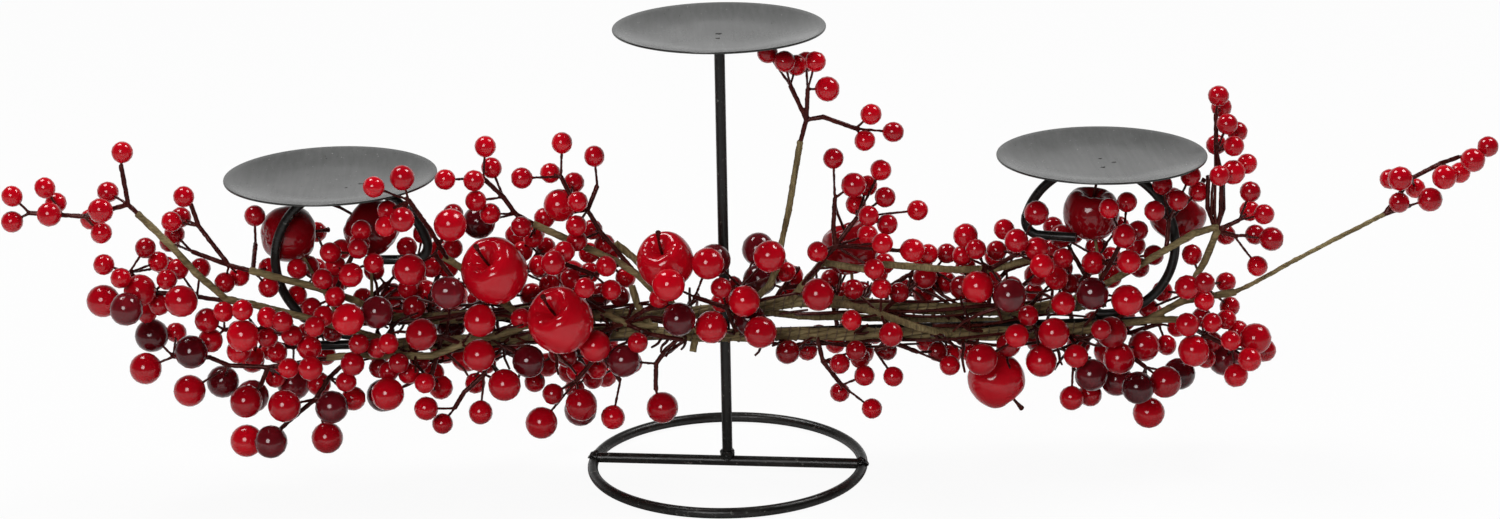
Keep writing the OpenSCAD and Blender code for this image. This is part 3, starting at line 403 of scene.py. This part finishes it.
# paper wrap, its fibres drawn out along the stem
paperFibres = (900, 5, 0.65, 0.3)
paperLook = {
    "gloss": 0.25,
    "body": {
        "grain": paperFibres,
        "stops": [
            (0.28, (0.070, 0.050, 0.022)), (0.45, (0.185, 0.140, 0.062)),
            (0.60, (0.285, 0.222, 0.105)), (0.78, (0.400, 0.325, 0.170)),
        ],
    },
    "stains": {"grain": (60, 4), "stops": [(0.3, (0.55, 0.48, 0.42)), (0.6, grey(1.0))]},
    "roughness": {"grain": paperFibres, "stops": [(0.3, grey(0.6)), (0.7, grey(0.85))]},
    "dents": {"grain": paperFibres, "strength": 0.6, "distance": 0.0005},
}


def makePaperWrap(name, stretch):
    material, tree, shader = newMaterial(name, Specular_IOR_Level=paperLook["gloss"])
    along = objectPlace(tree, stretch)
    body = layer(tree, along, paperLook["body"])
    stains = layer(tree, objectPlace(tree), paperLook["stains"])
    dress(tree, shader, along, blendColours(tree, 1.0, body, stains, "MULTIPLY"), paperLook)
    return material


# brown binding thread, evenly rough
threadLook = {
    "evenRoughness": 0.7,
    "yarn": {"grain": (600, 3), "stops": [(0.3, (0.045, 0.028, 0.014)), (0.7, (0.17, 0.115, 0.060))]},
    "dents": {"grain": (2500, 2), "strength": 0.5, "distance": 0.0002},
}


def makeThread():
    material, tree, shader = newMaterial("bindingThread", Roughness=threadLook["evenRoughness"])
    where = objectPlace(tree)
    dress(tree, shader, where, layer(tree, where, threadLook["yarn"]), threadLook)
    return material


blackSteel = makeBlackSteel()
panSteel = makePanSteel()
redLacquer = makeLacquer("redBerryLacquer")
darkLacquer = makeLacquer("darkBerryLacquer")
appleLacquer = makeLacquer("appleLacquer")
darkTwig = makeDarkTwig()
paperWrap = makePaperWrap("paperWrapAcross", (0.10, 1, 1))
paperWrapUpright = makePaperWrap("paperWrapUpright", (1, 1, 0.10))
threadFinish = makeThread()
print("finishes ready")

# rods keep their solids
for nodeName in ("base_ring", "base_crossbar", "centre_post", "arm_rod", "left_loop", "right_loop"):
    rod = nodes[nodeName]
    rod.data.materials.clear()
    rod.data.materials.append(blackSteel)

# pans, spun from a section through the sheet
pan = {
    "radius": 50, "floorRadius": 27, "depth": 4.5, "sheet": 1.0, "curve": 1.7, "dish": 0.35,
    "rings": 16, "steps": 96, "mergeGap": 0.01, "sharpOver": 35, "lipFrom": 0.35, "underShare": 0.9,
    "lip": [(0.1, 0.85), (0, 0.6), (0, 0.3), (0.1, -0.02)],  # inwards, and up in sheet thicknesses
}
panDrops = {  # burn-through of the weld below: across, back and size
    "segments": 14, "rings": 7, "width": 0.75, "height": 0.22, "lobes": 3, "uneven": 0.18,
    "centre_pan": [(0, 3.5, 1.6), (-0.8, -5.5, 1.2)],
    "left_pan": [(14, -2.5, 1.5), (7.5, -8, 0.8)],
    "right_pan": [(0.5, 7, 0.9), (6, 0, 1.2), (-0.5, -8, 1.3)],
}


def panRise(r):
    bowl = max(0, (r - pan["floorRadius"]) / (pan["radius"] - pan["floorRadius"])) ** pan["curve"]
    return pan["depth"] * (pan["dish"] * (r / pan["radius"]) ** 2 + (1 - pan["dish"]) * bowl)


def panSection():
    rim, depth, sheet = pan["radius"], pan["depth"], pan["sheet"]
    stations = [k * (rim - pan["lipFrom"]) / pan["rings"] for k in range(pan["rings"] + 1)]
    upper = [(r, panRise(r) + sheet) for r in stations]
    lip = [(rim - inwards, depth + up * sheet) for inwards, up in pan["lip"]]
    return upper + lip + [(r, panRise(r)) for r in reversed(stations)]


def markEdge(dish, seat):  # the lip and the underside are made darker
    edge = dish.data.attributes.new("edge", "FLOAT", "POINT")
    for v, mark in zip(dish.data.vertices, edge.data):
        local = (v.co - seat) / millimetre
        reach = min(math.hypot(local.x, local.y), pan["radius"])
        mark.value = 1.0 if local.z < panRise(reach) + pan["sheet"] * pan["underShare"] else 0.0


def weldDrop(place, size, phase):
    deselectAll()
    segments, rings = panDrops["segments"], panDrops["rings"]
    bpy.ops.mesh.primitive_uv_sphere_add(segments=segments, ring_count=rings, radius=millimetre)
    drop = bpy.context.object
    for v in drop.data.vertices:
        v.co *= 1 + panDrops["uneven"] * math.sin(panDrops["lobes"] * math.atan2(v.co.y, v.co.x) + phase)
    shape = Matrix.Diagonal((size, size * panDrops["width"], panDrops["height"], 1))
    drop.data.transform(Matrix.Translation(place) @ shape)
    bpy.ops.object.shade_smooth()
    return drop


drops = []
for nodeName, pieceName in (("centre_pan", "centrePan"), ("left_pan", "leftPan"), ("right_pan", "rightPan")):
    low, high = (Vector(corner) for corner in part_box(nodeName))
    seat = Vector(((low.x + high.x) / 2, (low.y + high.y) / 2, low.z))
    dish = spinProfile(pieceName, panSection(), pan["steps"], millimetre, pan["mergeGap"] * millimetre)
    dish.data.transform(Matrix.Translation(seat))
    smoothShade(dish, pan["sharpOver"])
    markEdge(dish, seat)
    handOver(dish, "frame", "pan_steel", panSteel, nodeName)
    for across, back, size in panDrops[nodeName]:
        drops.append(weldDrop(seat + Vector((across, back, pan["sheet"])) * millimetre, size, across))
handOver(joinAll(drops, "panWeldSpots"), "frame", "black_steel", blackSteel)
print("pans done")

# weld lumps
weld = {"voxel": 0.25, "before": 4, "slimmer": 0.95, "after": 8, "lump": 0.9, "grain": 2.2, "middle": 0.45}
lumps = mergedCopy("weld_beads", "weldLumps")
soften(lumps, weld["voxel"], weld["before"])
slim(lumps, weld["slimmer"])
soften(lumps, weld["voxel"], weld["after"])
roughen(lumps, lumpTexture("weldGrain", weld["grain"]), weld["lump"], weld["middle"])
smoothShade(lumps)
handOver(lumps, "frame", "black_steel", blackSteel, "weld_beads")
print("welds done")

# stems in paper wrap
stems = {
    "voxel": 0.45, "rounds": 5, "lump": 0.7, "grain": 3.5, "middle": 0.4,
    "sleeve": (0, 1.2, 2.4, 3.6), "sleeveRadius": 1.95, "sleeveReach": 6,
    "pieces": [  # node, piece, body, finish, how much slimmer, and the free spray that bends at its end
        ("left_stems", "leftStems", "frame", paperWrap, 0.1, "left_spray"),
        ("centre_stems", "centreStems", "frame", paperWrapUpright, 0.1, "tall_spray"),
        ("right_stems", "rightStems", "frame", paperWrap, 0.1, "right_spray"),
        ("left_spray_stem", "leftSprayStem", "left_spray", paperWrap, 0.2, None),
        ("tall_spray_stem", "tallSprayStem", "tall_spray", paperWrapUpright, 0.35, None),
        ("right_spray_stem", "rightSprayStem", "right_spray", paperWrap, 0.75, None),
    ],
}
bends = {joint["child"]: Vector(joint["pos_m"]) for joint in frame["joints"]}
stemGrain = lumpTexture("stemGrain", stems["grain"])


def addSleeve(stem, bend, pieceName):  # the wrap runs on over the bend, so that no gap shows there
    reach = stems["sleeveReach"] * millimetre
    near = [v.co for v in stem.data.vertices if (v.co - bend).length < reach]
    back = (sum(near, Vector()) / len(near) - bend).normalized()
    parts = [stem]
    for step in stems["sleeve"]:
        deselectAll()
        place = bend + back * step * millimetre
        bpy.ops.mesh.primitive_uv_sphere_add(radius=stems["sleeveRadius"] * millimetre, location=place)
        parts.append(bpy.context.object)
    return joinAll(parts, pieceName)


for nodeName, pieceName, body, finish, slimmer, freeSpray in stems["pieces"]:
    stem = mergedCopy(nodeName, pieceName)
    if freeSpray:
        stem = addSleeve(stem, bends[freeSpray], pieceName)
    soften(stem, stems["voxel"], stems["rounds"])
    slim(stem, slimmer)
    roughen(stem, stemGrain, stems["lump"], stems["middle"])
    smoothShade(stem)
    handOver(stem, body, "paper_wrap", finish, nodeName)
print("stems done")

# bundles as twisted strands, wound with thread
bundles = {
    "front": [
        (-172, 69, 1.5), (-120, 70, 2), (-60, 72, 3), (-20, 69.5, 5), (0, 68, 6.6), (20, 68, 6.2),
        (50, 67, 3.5), (90, 65.5, 2), (140, 64, 1.5), (190, 66, 2),
    ],
    "rear": [
        (-186, 84, -9), (-140, 82, -9), (-95, 83, -8), (-50, 80, -8), (0, 81, -9),
        (40, 84, -7), (90, 79, -7), (140, 76, -8), (184, 79, -9),
    ],
    "strands": 5, "strandDiameter": 2.5, "ringRadius": 1.95, "turnsPerMetre": 14, "core": 2.6,
    "wobbleRate": 90, "strandStep": 4, "strandWobble": 0.12, "strandThinnest": 0.85, "strandSpread": 0.3,
    "threadDiameter": 0.7, "threadPitch": 4.6, "threadRadius": 3.3, "threadPhase": 0.4,
    "threadStep": 0.5, "threadWobble": 0.02,
}


def evenPath(points, step):
    path = [spot(*p) for p in points]
    smooth = []
    for i in range(len(path) - 1):
        a, b, c, d = path[max(i - 1, 0)], path[i], path[i + 1], path[min(i + 2, len(path) - 1)]
        count = max(2, round((c - b).length / (step * millimetre)))
        for k in range(count):
            t = k / count
            bow = ((c - a) * (1 - t) - (d - b) * t) * t * (1 - t) * 0.5
            smooth.append(b + (c - b) * t + bow - (c - b) * (1 - 2 * t) * t * (1 - t))
    smooth.append(path[-1])
    return smooth


def coilRound(path, radius, turnsPerMetre, phase, wobble):
    coil, travelled = [], 0.0
    for k, place in enumerate(path):
        heading = (path[min(k + 1, len(path) - 1)] - path[max(k - 1, 0)]).normalized()
        if k:
            travelled += (place - path[k - 1]).length
        side = heading.cross(Vector((0, 0, 1))).normalized()
        rise = side.cross(heading)
        angle = phase + travelled * turnsPerMetre * fullTurn
        reach = radius * (1 + wobble * math.sin(travelled * bundles["wobbleRate"] + phase * 3)) * millimetre
        coil.append(place + (side * math.cos(angle) + rise * math.sin(angle)) * reach)
    return coil


for strand, nodeName in (("front", "front_bundle"), ("rear", "rear_bundle")):
    route = evenPath(bundles[strand], bundles["strandStep"])
    parts = [tubes([route], bundles["core"], strand + "Core")]
    for k in range(bundles["strands"]):
        phase = k * fullTurn / bundles["strands"]
        twist = coilRound(route, bundles["ringRadius"], bundles["turnsPerMetre"], phase, bundles["strandWobble"])
        thickness = bundles["strandThinnest"] + bundles["strandSpread"] * dice.random()
        parts.append(tubes([twist], bundles["strandDiameter"] * thickness, "strand"))
    bundle = joinAll(parts, strand + "Bundle")
    smoothShade(bundle)
    handOver(bundle, "frame", "paper_wrap", paperWrap, nodeName)

windings = []
for strand in ("front", "rear"):
    route = evenPath(bundles[strand], bundles["threadStep"])
    turns, phase = 1000 / bundles["threadPitch"], bundles["threadPhase"]
    winding = coilRound(route, bundles["threadRadius"], turns, phase, bundles["threadWobble"])
    windings.append(tubes([winding], bundles["threadDiameter"], "winding", 0))
thread = joinAll(windings, "bindingThread")
smoothShade(thread)
handOver(thread, "frame", "thread", threadFinish, "binding_thread")
print("bundles done")

# fine twigs bound in with the bundles
fineTwigs = {
    "diameter": 1.7, "thickRoot": 1.15, "thinning": 0.5, "bend": 0.35, "steps": 5, "routeStep": 2,
    "spread": 1.3, "outward": (0.1, 0.9), "shortening": (0.6, 1.0),
    "fork": 0.55, "forkAt": 2, "forkTurn": 0.006, "forkDepth": 0.6, "forkLength": 0.45, "forkSteps": 3,
    "keepClear": (8, 52), "droop": 0.6,  # the tall spray swings over this stretch, so twigs point down there
    "stretches": [  # bundle, start, end, number of twigs and their reach
        ("front", -168, -60, 22, 34), ("rear", -182, -60, 26, 34),
        ("front", -60, -12, 9, 22), ("rear", -60, -12, 9, 22),
        ("front", 18, 110, 10, 17), ("rear", 30, 110, 16, 24),
        ("front", 110, 186, 14, 30), ("rear", 110, 182, 18, 32),
    ],
    "runners": 16, "runnerLength": (50, 120), "runnerReach": (4.2, 6.5), "runnerStride": 3,
    "runnerTurns": 3.0, "runnerWobble": 0.25,
    "crossing": [  # forks that lie over the bundles, and twigs beside the upright spray on the right
        [(125, 99, 10), (126, 92, 15), (131.5, 77, 17), (134, 70, 14)],
        [(131.5, 77, 17), (123.5, 74.5, 16), (115, 70.5, 13), (110, 66, 6)],
        [(131.5, 77, 17), (141, 80, 17), (147, 76, 12)],
        [(8, 82, 8), (20, 86, 6), (34, 88, 2), (48, 85, -2)],
        [(-48, 76, 9), (-36, 79, 13), (-24, 77, 14), (-12, 72, 12)],
        [(-56, 81, 9), (-66, 88, 12), (-80, 92, 12), (-92, 90, 8)],
        [(-93, 77, 10), (-104, 82, 14), (-122, 84, 15), (-136, 80, 12)],
        [(-126, 68.5, 12), (-140, 74, 16), (-156, 76, 15), (-168, 72, 10)],
        [(-110, 92, 4), (-120, 88, 12), (-134, 88, 14), (-146, 92, 12)],
        [(237, 112, 8), (236, 122, 9), (236, 136, 10), (235.5, 151, 8)],
        [(237, 112, 8), (240.5, 123, 7), (240, 137, 6), (236.5, 152, 6)],
        [(237, 112, 8), (234.5, 119, 9), (234.5, 131, 9), (236, 147, 8)],
    ],
}


def wander(root, heading, length, steps):
    path, place, way = [root], root.copy(), heading.normalized()
    for k in range(steps):
        stray = Vector((dice.uniform(-1, 1), dice.uniform(-1, 1), dice.uniform(-1, 1)))
        way = (way + stray * fineTwigs["bend"]).normalized()
        place = place + way * length * millimetre / steps
        path.append(place)
    return path


def twigTaper(t):
    return fineTwigs["thickRoot"] - fineTwigs["thinning"] * t


twigPaths = []
routes = {strand: evenPath(bundles[strand], fineTwigs["routeStep"]) for strand in ("front", "rear")}
for strand, start, end, count, reach in fineTwigs["stretches"]:
    outward = -1 if strand == "front" else 1
    for k in range(count):
        across = (start + (end - start) * (k + dice.random()) / count) * millimetre
        root = min(routes[strand], key=lambda place: abs(place.x - across))
        sideways = dice.uniform(-1, 1) * fineTwigs["spread"]
        heading = Vector((sideways, outward * dice.uniform(*fineTwigs["outward"]), dice.uniform(-1, 1)))
        if fineTwigs["keepClear"][0] < across / millimetre < fineTwigs["keepClear"][1]:
            heading.z = -abs(heading.z) * fineTwigs["droop"]
        path = wander(root, heading, reach * dice.uniform(*fineTwigs["shortening"]), fineTwigs["steps"])
        twigPaths.append(path)
        if dice.random() < fineTwigs["fork"]:
            at, depth = fineTwigs["forkAt"], fineTwigs["forkDepth"]
            stray = Vector((dice.uniform(-1, 1), dice.uniform(-depth, depth), dice.uniform(-1, 1)))
            side = path[at + 1] - path[at] + stray * fineTwigs["forkTurn"]
            twigPaths.append(wander(path[at], side, reach * fineTwigs["forkLength"], fineTwigs["forkSteps"]))
for k in range(fineTwigs["runners"]):
    route = routes["front" if k % 2 else "rear"]
    length = int(dice.uniform(*fineTwigs["runnerLength"]) / fineTwigs["routeStep"])
    first = dice.randrange(len(route) - length)
    reach, phase = dice.uniform(*fineTwigs["runnerReach"]), dice.uniform(0, fullTurn)
    stretch = route[first:first + length:fineTwigs["runnerStride"]]
    twigPaths.append(coilRound(stretch, reach, fineTwigs["runnerTurns"], phase, fineTwigs["runnerWobble"]))
twigPaths += [[spot(*place) for place in path] for path in fineTwigs["crossing"]]
fineTwigPiece = tubes(twigPaths, fineTwigs["diameter"], "fineTwigs", 1, twigTaper)
smoothShade(fineTwigPiece)
handOver(fineTwigPiece, "frame", "dark_twig", darkTwig)
print("fine twigs done")

# branchlets and stalks
branchlets = {
    "voxel": 0.34, "rounds": 3, "lump": 0.5, "grain": 2.2, "middle": 0.7, "keepFaces": 0.6,
    "pieces": [
        ("outer_branchlets", "outerBranchlets", "frame"),
        ("left_branchlets", "leftBranchlets", "frame"),
        ("centre_branchlets", "centreBranchlets", "frame"),
        ("right_branchlets", "rightBranchlets", "frame"),
        ("left_spray_branchlet", "leftSprayBranchlet", "left_spray"),
        ("tall_spray_branchlet", "tallSprayBranchlet", "tall_spray"),
        ("right_spray_branchlet", "rightSprayBranchlet", "right_spray"),
    ],
}
twigGrain = lumpTexture("twigGrain", branchlets["grain"])
twigPlaces = []
for nodeName, pieceName, body in branchlets["pieces"]:
    twigPlaces += [v.co.copy() for v in nodes[nodeName].data.vertices]
    twig = mergedCopy(nodeName, pieceName)
    soften(twig, branchlets["voxel"], branchlets["rounds"])
    roughen(twig, twigGrain, branchlets["lump"], branchlets["middle"])
    applyModifier(twig, "DECIMATE", ratio=branchlets["keepFaces"])
    smoothShade(twig)
    handOver(twig, body, "dark_twig", darkTwig, nodeName)
twigTree = treeOf(twigPlaces)
coreTree = treeOf(routes["front"] + routes["rear"])
print("branchlets done")

# berries, each with its neck turned to its stalk
berries = {
    "small": {"segments": 12, "rings": 8, "neck": 0.05, "dimple": 0.05},
    "large": {"segments": 16, "rings": 10, "neck": 0.05, "dimple": 0.06},
    "pole": 0.99, "grip": 0.97, "uneven": (0.965, 1.015),
    # the last three set how berries close to the bundles are darkened as painted shade
    "tone": (0.3, 0.95), "paintedShadeFrom": 9, "paintedShadeOver": 9, "paintedShadeDeepest": 0.1,
}


def modelBerry(size):
    shape = berries[size]
    deselectAll()
    bpy.ops.mesh.primitive_uv_sphere_add(segments=shape["segments"], ring_count=shape["rings"], radius=1)
    berry = bpy.context.object
    berry.name = size + "BerryModel"
    bpy.ops.object.mode_set(mode="EDIT")
    pole = berries["pole"]
    for lowest, highest, shift in ((pole, 2, shape["neck"]), (-2, -pole, shape["dimple"])):
        bpy.ops.mesh.select_all(action="DESELECT")
        mesh = bmesh.from_edit_mesh(berry.data)
        for v in mesh.verts:
            v.select_set(lowest < v.co.z < highest)
        mesh.select_flush_mode()
        bmesh.update_edit_mesh(berry.data)
        bpy.ops.transform.translate(value=(0, 0, shift))
    bpy.ops.object.mode_set(mode="OBJECT")
    berry.data.attributes.new("tone", "FLOAT", "POINT")
    bpy.ops.object.shade_smooth()
    return berry


def placeFruit(model, name, seat):
    fruit = bpy.data.objects.new(name, model.data.copy())
    fruit.data.transform(seat)
    scene.collection.objects.link(fruit)
    return fruit


# the tone also carries painted shade, set per fruit
def setToneAndShade(fruit, tone):
    fruit.data.attributes["tone"].data.foreach_set("value", [tone] * len(fruit.data.vertices))


def turnTo(axis):
    return axis.normalized().to_track_quat("Z", "Y").to_matrix().to_4x4()


berryModels = {size: modelBerry(size) for size in ("small", "large")}


def settleBerries(nodeName, size):
    parts = []
    for centre, radius in islandsOf(nodeName):
        near = [hit[0] for hit in twigTree.find_range(centre, radius * berries["grip"])]
        lean = sum(near, Vector()) / len(near) - centre if near else Vector((0, 0, -1))
        turn = turnTo(lean) @ Matrix.Rotation(dice.random() * fullTurn, 4, "Z")
        uneven = Matrix.Diagonal([radius * dice.uniform(*berries["uneven"]) for k in range(3)] + [1])
        berry = placeFruit(berryModels[size], "berry", Matrix.Translation(centre) @ turn @ uneven)
        gap = coreTree.find(centre)[2] / millimetre  # painted shade: berries deep among the bundles are darkened
        paintedShade = min(1.0, max(berries["paintedShadeDeepest"], (gap - berries["paintedShadeFrom"]) / berries["paintedShadeOver"]))
        setToneAndShade(berry, dice.uniform(*berries["tone"]) * paintedShade)
        parts.append(berry)
    return parts


for area in ("left", "centre", "right"):
    for kind, size in (("small", "small"), ("middle", "small"), ("large", "large"), ("dark", "large")):
        nodeName = area + "_" + kind + "_berries"
        cluster = joinAll(settleBerries(nodeName, size), area + kind.title() + "Berries")
        finish, slot = (darkLacquer, "dark_lacquer") if kind == "dark" else (redLacquer, "red_lacquer")
        handOver(cluster, "frame", slot, finish, nodeName)
for area in ("left", "tall", "right"):
    nodeName = area + "_spray_berries"
    cluster = joinAll(settleBerries(nodeName, "small"), area + "SprayBerries")
    handOver(cluster, area + "_spray", "red_lacquer", redLacquer, nodeName)
for model in berryModels.values():
    bpy.data.objects.remove(model)
print("berries done")

# apples, with the dimple at the stalk end
apples = {
    "profile": [  # radius and height, for an apple one unit across
        (0, 0.16), (0.03, 0.165), (0.07, 0.205), (0.12, 0.27), (0.18, 0.325), (0.25, 0.355),
        (0.32, 0.348), (0.385, 0.302), (0.44, 0.22), (0.48, 0.10), (0.492, -0.02), (0.48, -0.15),
        (0.44, -0.27), (0.37, -0.37), (0.27, -0.44), (0.16, -0.472), (0.07, -0.468), (0, -0.46),
    ],
    "steps": 32, "mergeGap": 0.0005,
    "small": 28, "large": 32,  # diameters in millimetres
    "lobes": 5, "lobeDepth": 0.022, "lopsided": 0.035,
    "creases": 6, "creaseDepth": 0.016, "creaseAt": 0.2, "creaseWidth": 0.1, "dents": 0.03, "dentSize": 300,
    "left": [  # place, size, the way the stalk points, and tone, where 0.12 is painted shade on the apples under the pans
        ((-204.5, 126.5, -24), "small", (0.85, 0.45, -0.1), 0.12),
        ((-166.5, 129, -20), "small", (-0.8, 0.3, 0.5), 0.12),
        ((-109.5, 105, 24), "large", (-0.4, -0.6, 0.7), 0.7),
        ((-79, 79, 28), "large", (-0.4, -0.6, 0.7), 0.7),
    ],
    "centre": [
        ((-28, 107, 14), "small", (-0.25, -0.5, 0.8), 0.7),
        ((60.5, 111, -14), "small", (-0.3, 0.1, 0.9), 0.12),
    ],
    "right": [
        ((176.5, 124, -18), "small", (0.1, -0.1, 1), 0.12),
        ((218.5, 121, -22), "small", (0.6, 0.1, 0.7), 0.12),
        ((131.5, 40, 5), "small", (0.6, 0.1, -0.75), 0.7),
    ],
    "stalkDiameter": 1.8, "stalkFrom": 0.14, "stalkTo": 0.76, "stalkBend": 0.09, "stalkSteps": 8,
    "stalkWaist": 0.8, "knobFrom": 0.72, "knobFlare": 2.6,
    "pickVoxel": 0.3, "pickRounds": 2,
}


def modelApple():
    apple = spinProfile("appleModel", apples["profile"], apples["steps"], 1, apples["mergeGap"])
    for v in apple.data.vertices:
        angle = math.atan2(v.co.y, v.co.x)  # soft lobes that fade towards the waist, and a lopsided top
        lobe = apples["lobeDepth"] * abs(v.co.z) * (1 - math.cos(apples["lobes"] * angle))
        v.co *= 1 - lobe - apples["lopsided"] * max(0, v.co.z) * math.sin(2 * angle + 1)
        across = (math.hypot(v.co.x, v.co.y) - apples["creaseAt"]) / apples["creaseWidth"]
        ring = math.exp(-across ** 2) if v.co.z > 0 else 0  # creases round the dimple
        v.co.z += apples["creaseDepth"] * ring * math.cos(apples["creases"] * angle + 2 * math.sin(2 * angle))
    applyModifier(apple, "SUBSURF", levels=1, render_levels=1)
    dents = lumpTexture("appleDents", apples["dentSize"])
    applyModifier(apple, "DISPLACE", texture=dents, strength=apples["dents"], mid_level=0.5)
    apple.data.attributes.new("tone", "FLOAT", "POINT")
    pickUp(apple)
    bpy.ops.object.shade_smooth()
    return apple


def stalkTaper(t):  # a knob at the tip
    return apples["stalkWaist"] + apples["knobFlare"] * max(0, t - apples["knobFrom"])


def makeStalk(seat):  # thin and a little bent
    low, high, steps = apples["stalkFrom"], apples["stalkTo"], apples["stalkSteps"]
    line = []
    for k in range(steps + 1):
        line.append(seat @ Vector((apples["stalkBend"] * (k / steps) ** 2, 0, low + (high - low) * k / steps)))
    return tubes([line], apples["stalkDiameter"], "stalk", 2, stalkTaper)


appleModel = modelApple()
stalks = []
for area in ("left", "centre", "right"):
    parts = []
    for place, size, axis, tone in apples[area]:
        seat = Matrix.Translation(spot(*place)) @ turnTo(Vector(axis)) @ Matrix.Scale(apples[size] * millimetre, 4)
        apple = placeFruit(appleModel, "apple", seat)
        # the low tones paint shade on the apples under the pans
        setToneAndShade(apple, tone)
        parts.append(apple)
        stalks.append(makeStalk(seat))
    handOver(joinAll(parts, area + "Apples"), "frame", "apple_lacquer", appleLacquer, area + "_apples")
bpy.data.objects.remove(appleModel)
appleStalks = joinAll(stalks, "appleStalks")
smoothShade(appleStalks)
handOver(appleStalks, "frame", "dark_twig", darkTwig, "apple_stalks")
picks = mergedCopy("apple_picks", "applePicks")
soften(picks, apples["pickVoxel"], apples["pickRounds"])
smoothShade(picks)
handOver(picks, "frame", "paper_wrap", paperWrapUpright, "apple_picks")
print("apples done")

# floor, studio light and world
studio = {
    "floorSize": 8, "floorDrop": 0.0002, "floorPaper": grey(0.76), "floorShare": 0.94, "worldFill": 0.08,
    "aimHeight": 0.1,
    "lamps": [  # name, direction, distance, size and power
        ("frontBox", (-0.315, -0.846, 0.431), 2.3, 1.0, 23),
        ("topLeftBox", (-0.40, 0.253, 0.879), 2.0, 0.8, 20),
        ("topRightBox", (0.537, 0.143, 0.831), 2.0, 0.8, 20),
    ],
    "roomBehind": [(0.0, grey(0.12)), (0.3, grey(0.2)), (0.7, grey(1.0))],  # what gloss sees, front to back
    "roomLow": [(0.05, grey(0.9)), (0.3, grey(0.45)), (0.6, grey(0.08))],  # and from the horizon upwards
}
deselectAll()
bpy.ops.mesh.primitive_plane_add(size=studio["floorSize"], location=(0, 0, -studio["floorDrop"]))
floor = bpy.context.object
floor.name = "studioFloor"
floorPaper = bpy.data.materials.new("floorPaper")
floorPaper.use_nodes = True
tree = floorPaper.node_tree
tree.nodes.clear()
output = tree.nodes.new("ShaderNodeOutputMaterial")
paper = tree.nodes.new("ShaderNodeBsdfDiffuse")
paper.inputs["Color"].default_value = (*studio["floorPaper"], 1)
glow = tree.nodes.new("ShaderNodeEmission")
mix = tree.nodes.new("ShaderNodeMixShader")
path = tree.nodes.new("ShaderNodeLightPath")
share = tree.nodes.new("ShaderNodeMath")
share.operation = "MULTIPLY"
share.inputs[1].default_value = studio["floorShare"]
tree.links.new(path.outputs["Is Camera Ray"], share.inputs[0])
tree.links.new(share.outputs[0], mix.inputs["Fac"])
tree.links.new(paper.outputs[0], mix.inputs[1])
tree.links.new(glow.outputs[0], mix.inputs[2])
tree.links.new(mix.outputs[0], output.inputs["Surface"])
floor.data.materials.append(floorPaper)

for name, direction, distance, size, power in studio["lamps"]:
    lamp = bpy.data.lights.new(name, "AREA")
    lamp.shape = "DISK"
    lamp.size = size
    lamp.energy = power
    lampObject = bpy.data.objects.new(name, lamp)
    scene.collection.objects.link(lampObject)
    aim = Vector(direction).normalized()
    place = aim * distance + Vector((0, 0, studio["aimHeight"]))
    lampObject.matrix_world = Matrix.Translation(place) @ turnTo(aim)

world = bpy.data.worlds.new("studioWorld")
scene.world = world
world.use_nodes = True
tree = world.node_tree
tree.nodes.clear()
output = tree.nodes.new("ShaderNodeOutputWorld")
path = tree.nodes.new("ShaderNodeLightPath")
white = tree.nodes.new("ShaderNodeBackground")
white.inputs["Color"].default_value = (1, 1, 1, 1)
fill = tree.nodes.new("ShaderNodeBackground")
fill.inputs["Strength"].default_value = studio["worldFill"]
room = tree.nodes.new("ShaderNodeBackground")
coords = tree.nodes.new("ShaderNodeTexCoord")
axes = tree.nodes.new("ShaderNodeSeparateXYZ")
tree.links.new(coords.outputs["Generated"], axes.inputs[0])
behind = ramp(tree, axes.outputs["Y"], studio["roomBehind"])
low = ramp(tree, axes.outputs["Z"], studio["roomLow"])
tree.links.new(blendColours(tree, 1.0, behind, low, "MULTIPLY"), room.inputs["Color"])
glossy = tree.nodes.new("ShaderNodeMixShader")
final = tree.nodes.new("ShaderNodeMixShader")
tree.links.new(path.outputs["Is Glossy Ray"], glossy.inputs["Fac"])
tree.links.new(fill.outputs[0], glossy.inputs[1])
tree.links.new(room.outputs[0], glossy.inputs[2])
tree.links.new(path.outputs["Is Camera Ray"], final.inputs["Fac"])
tree.links.new(glossy.outputs[0], final.inputs[1])
tree.links.new(white.outputs[0], final.inputs[2])
tree.links.new(final.outputs[0], output.inputs["Surface"])
print("studio done")
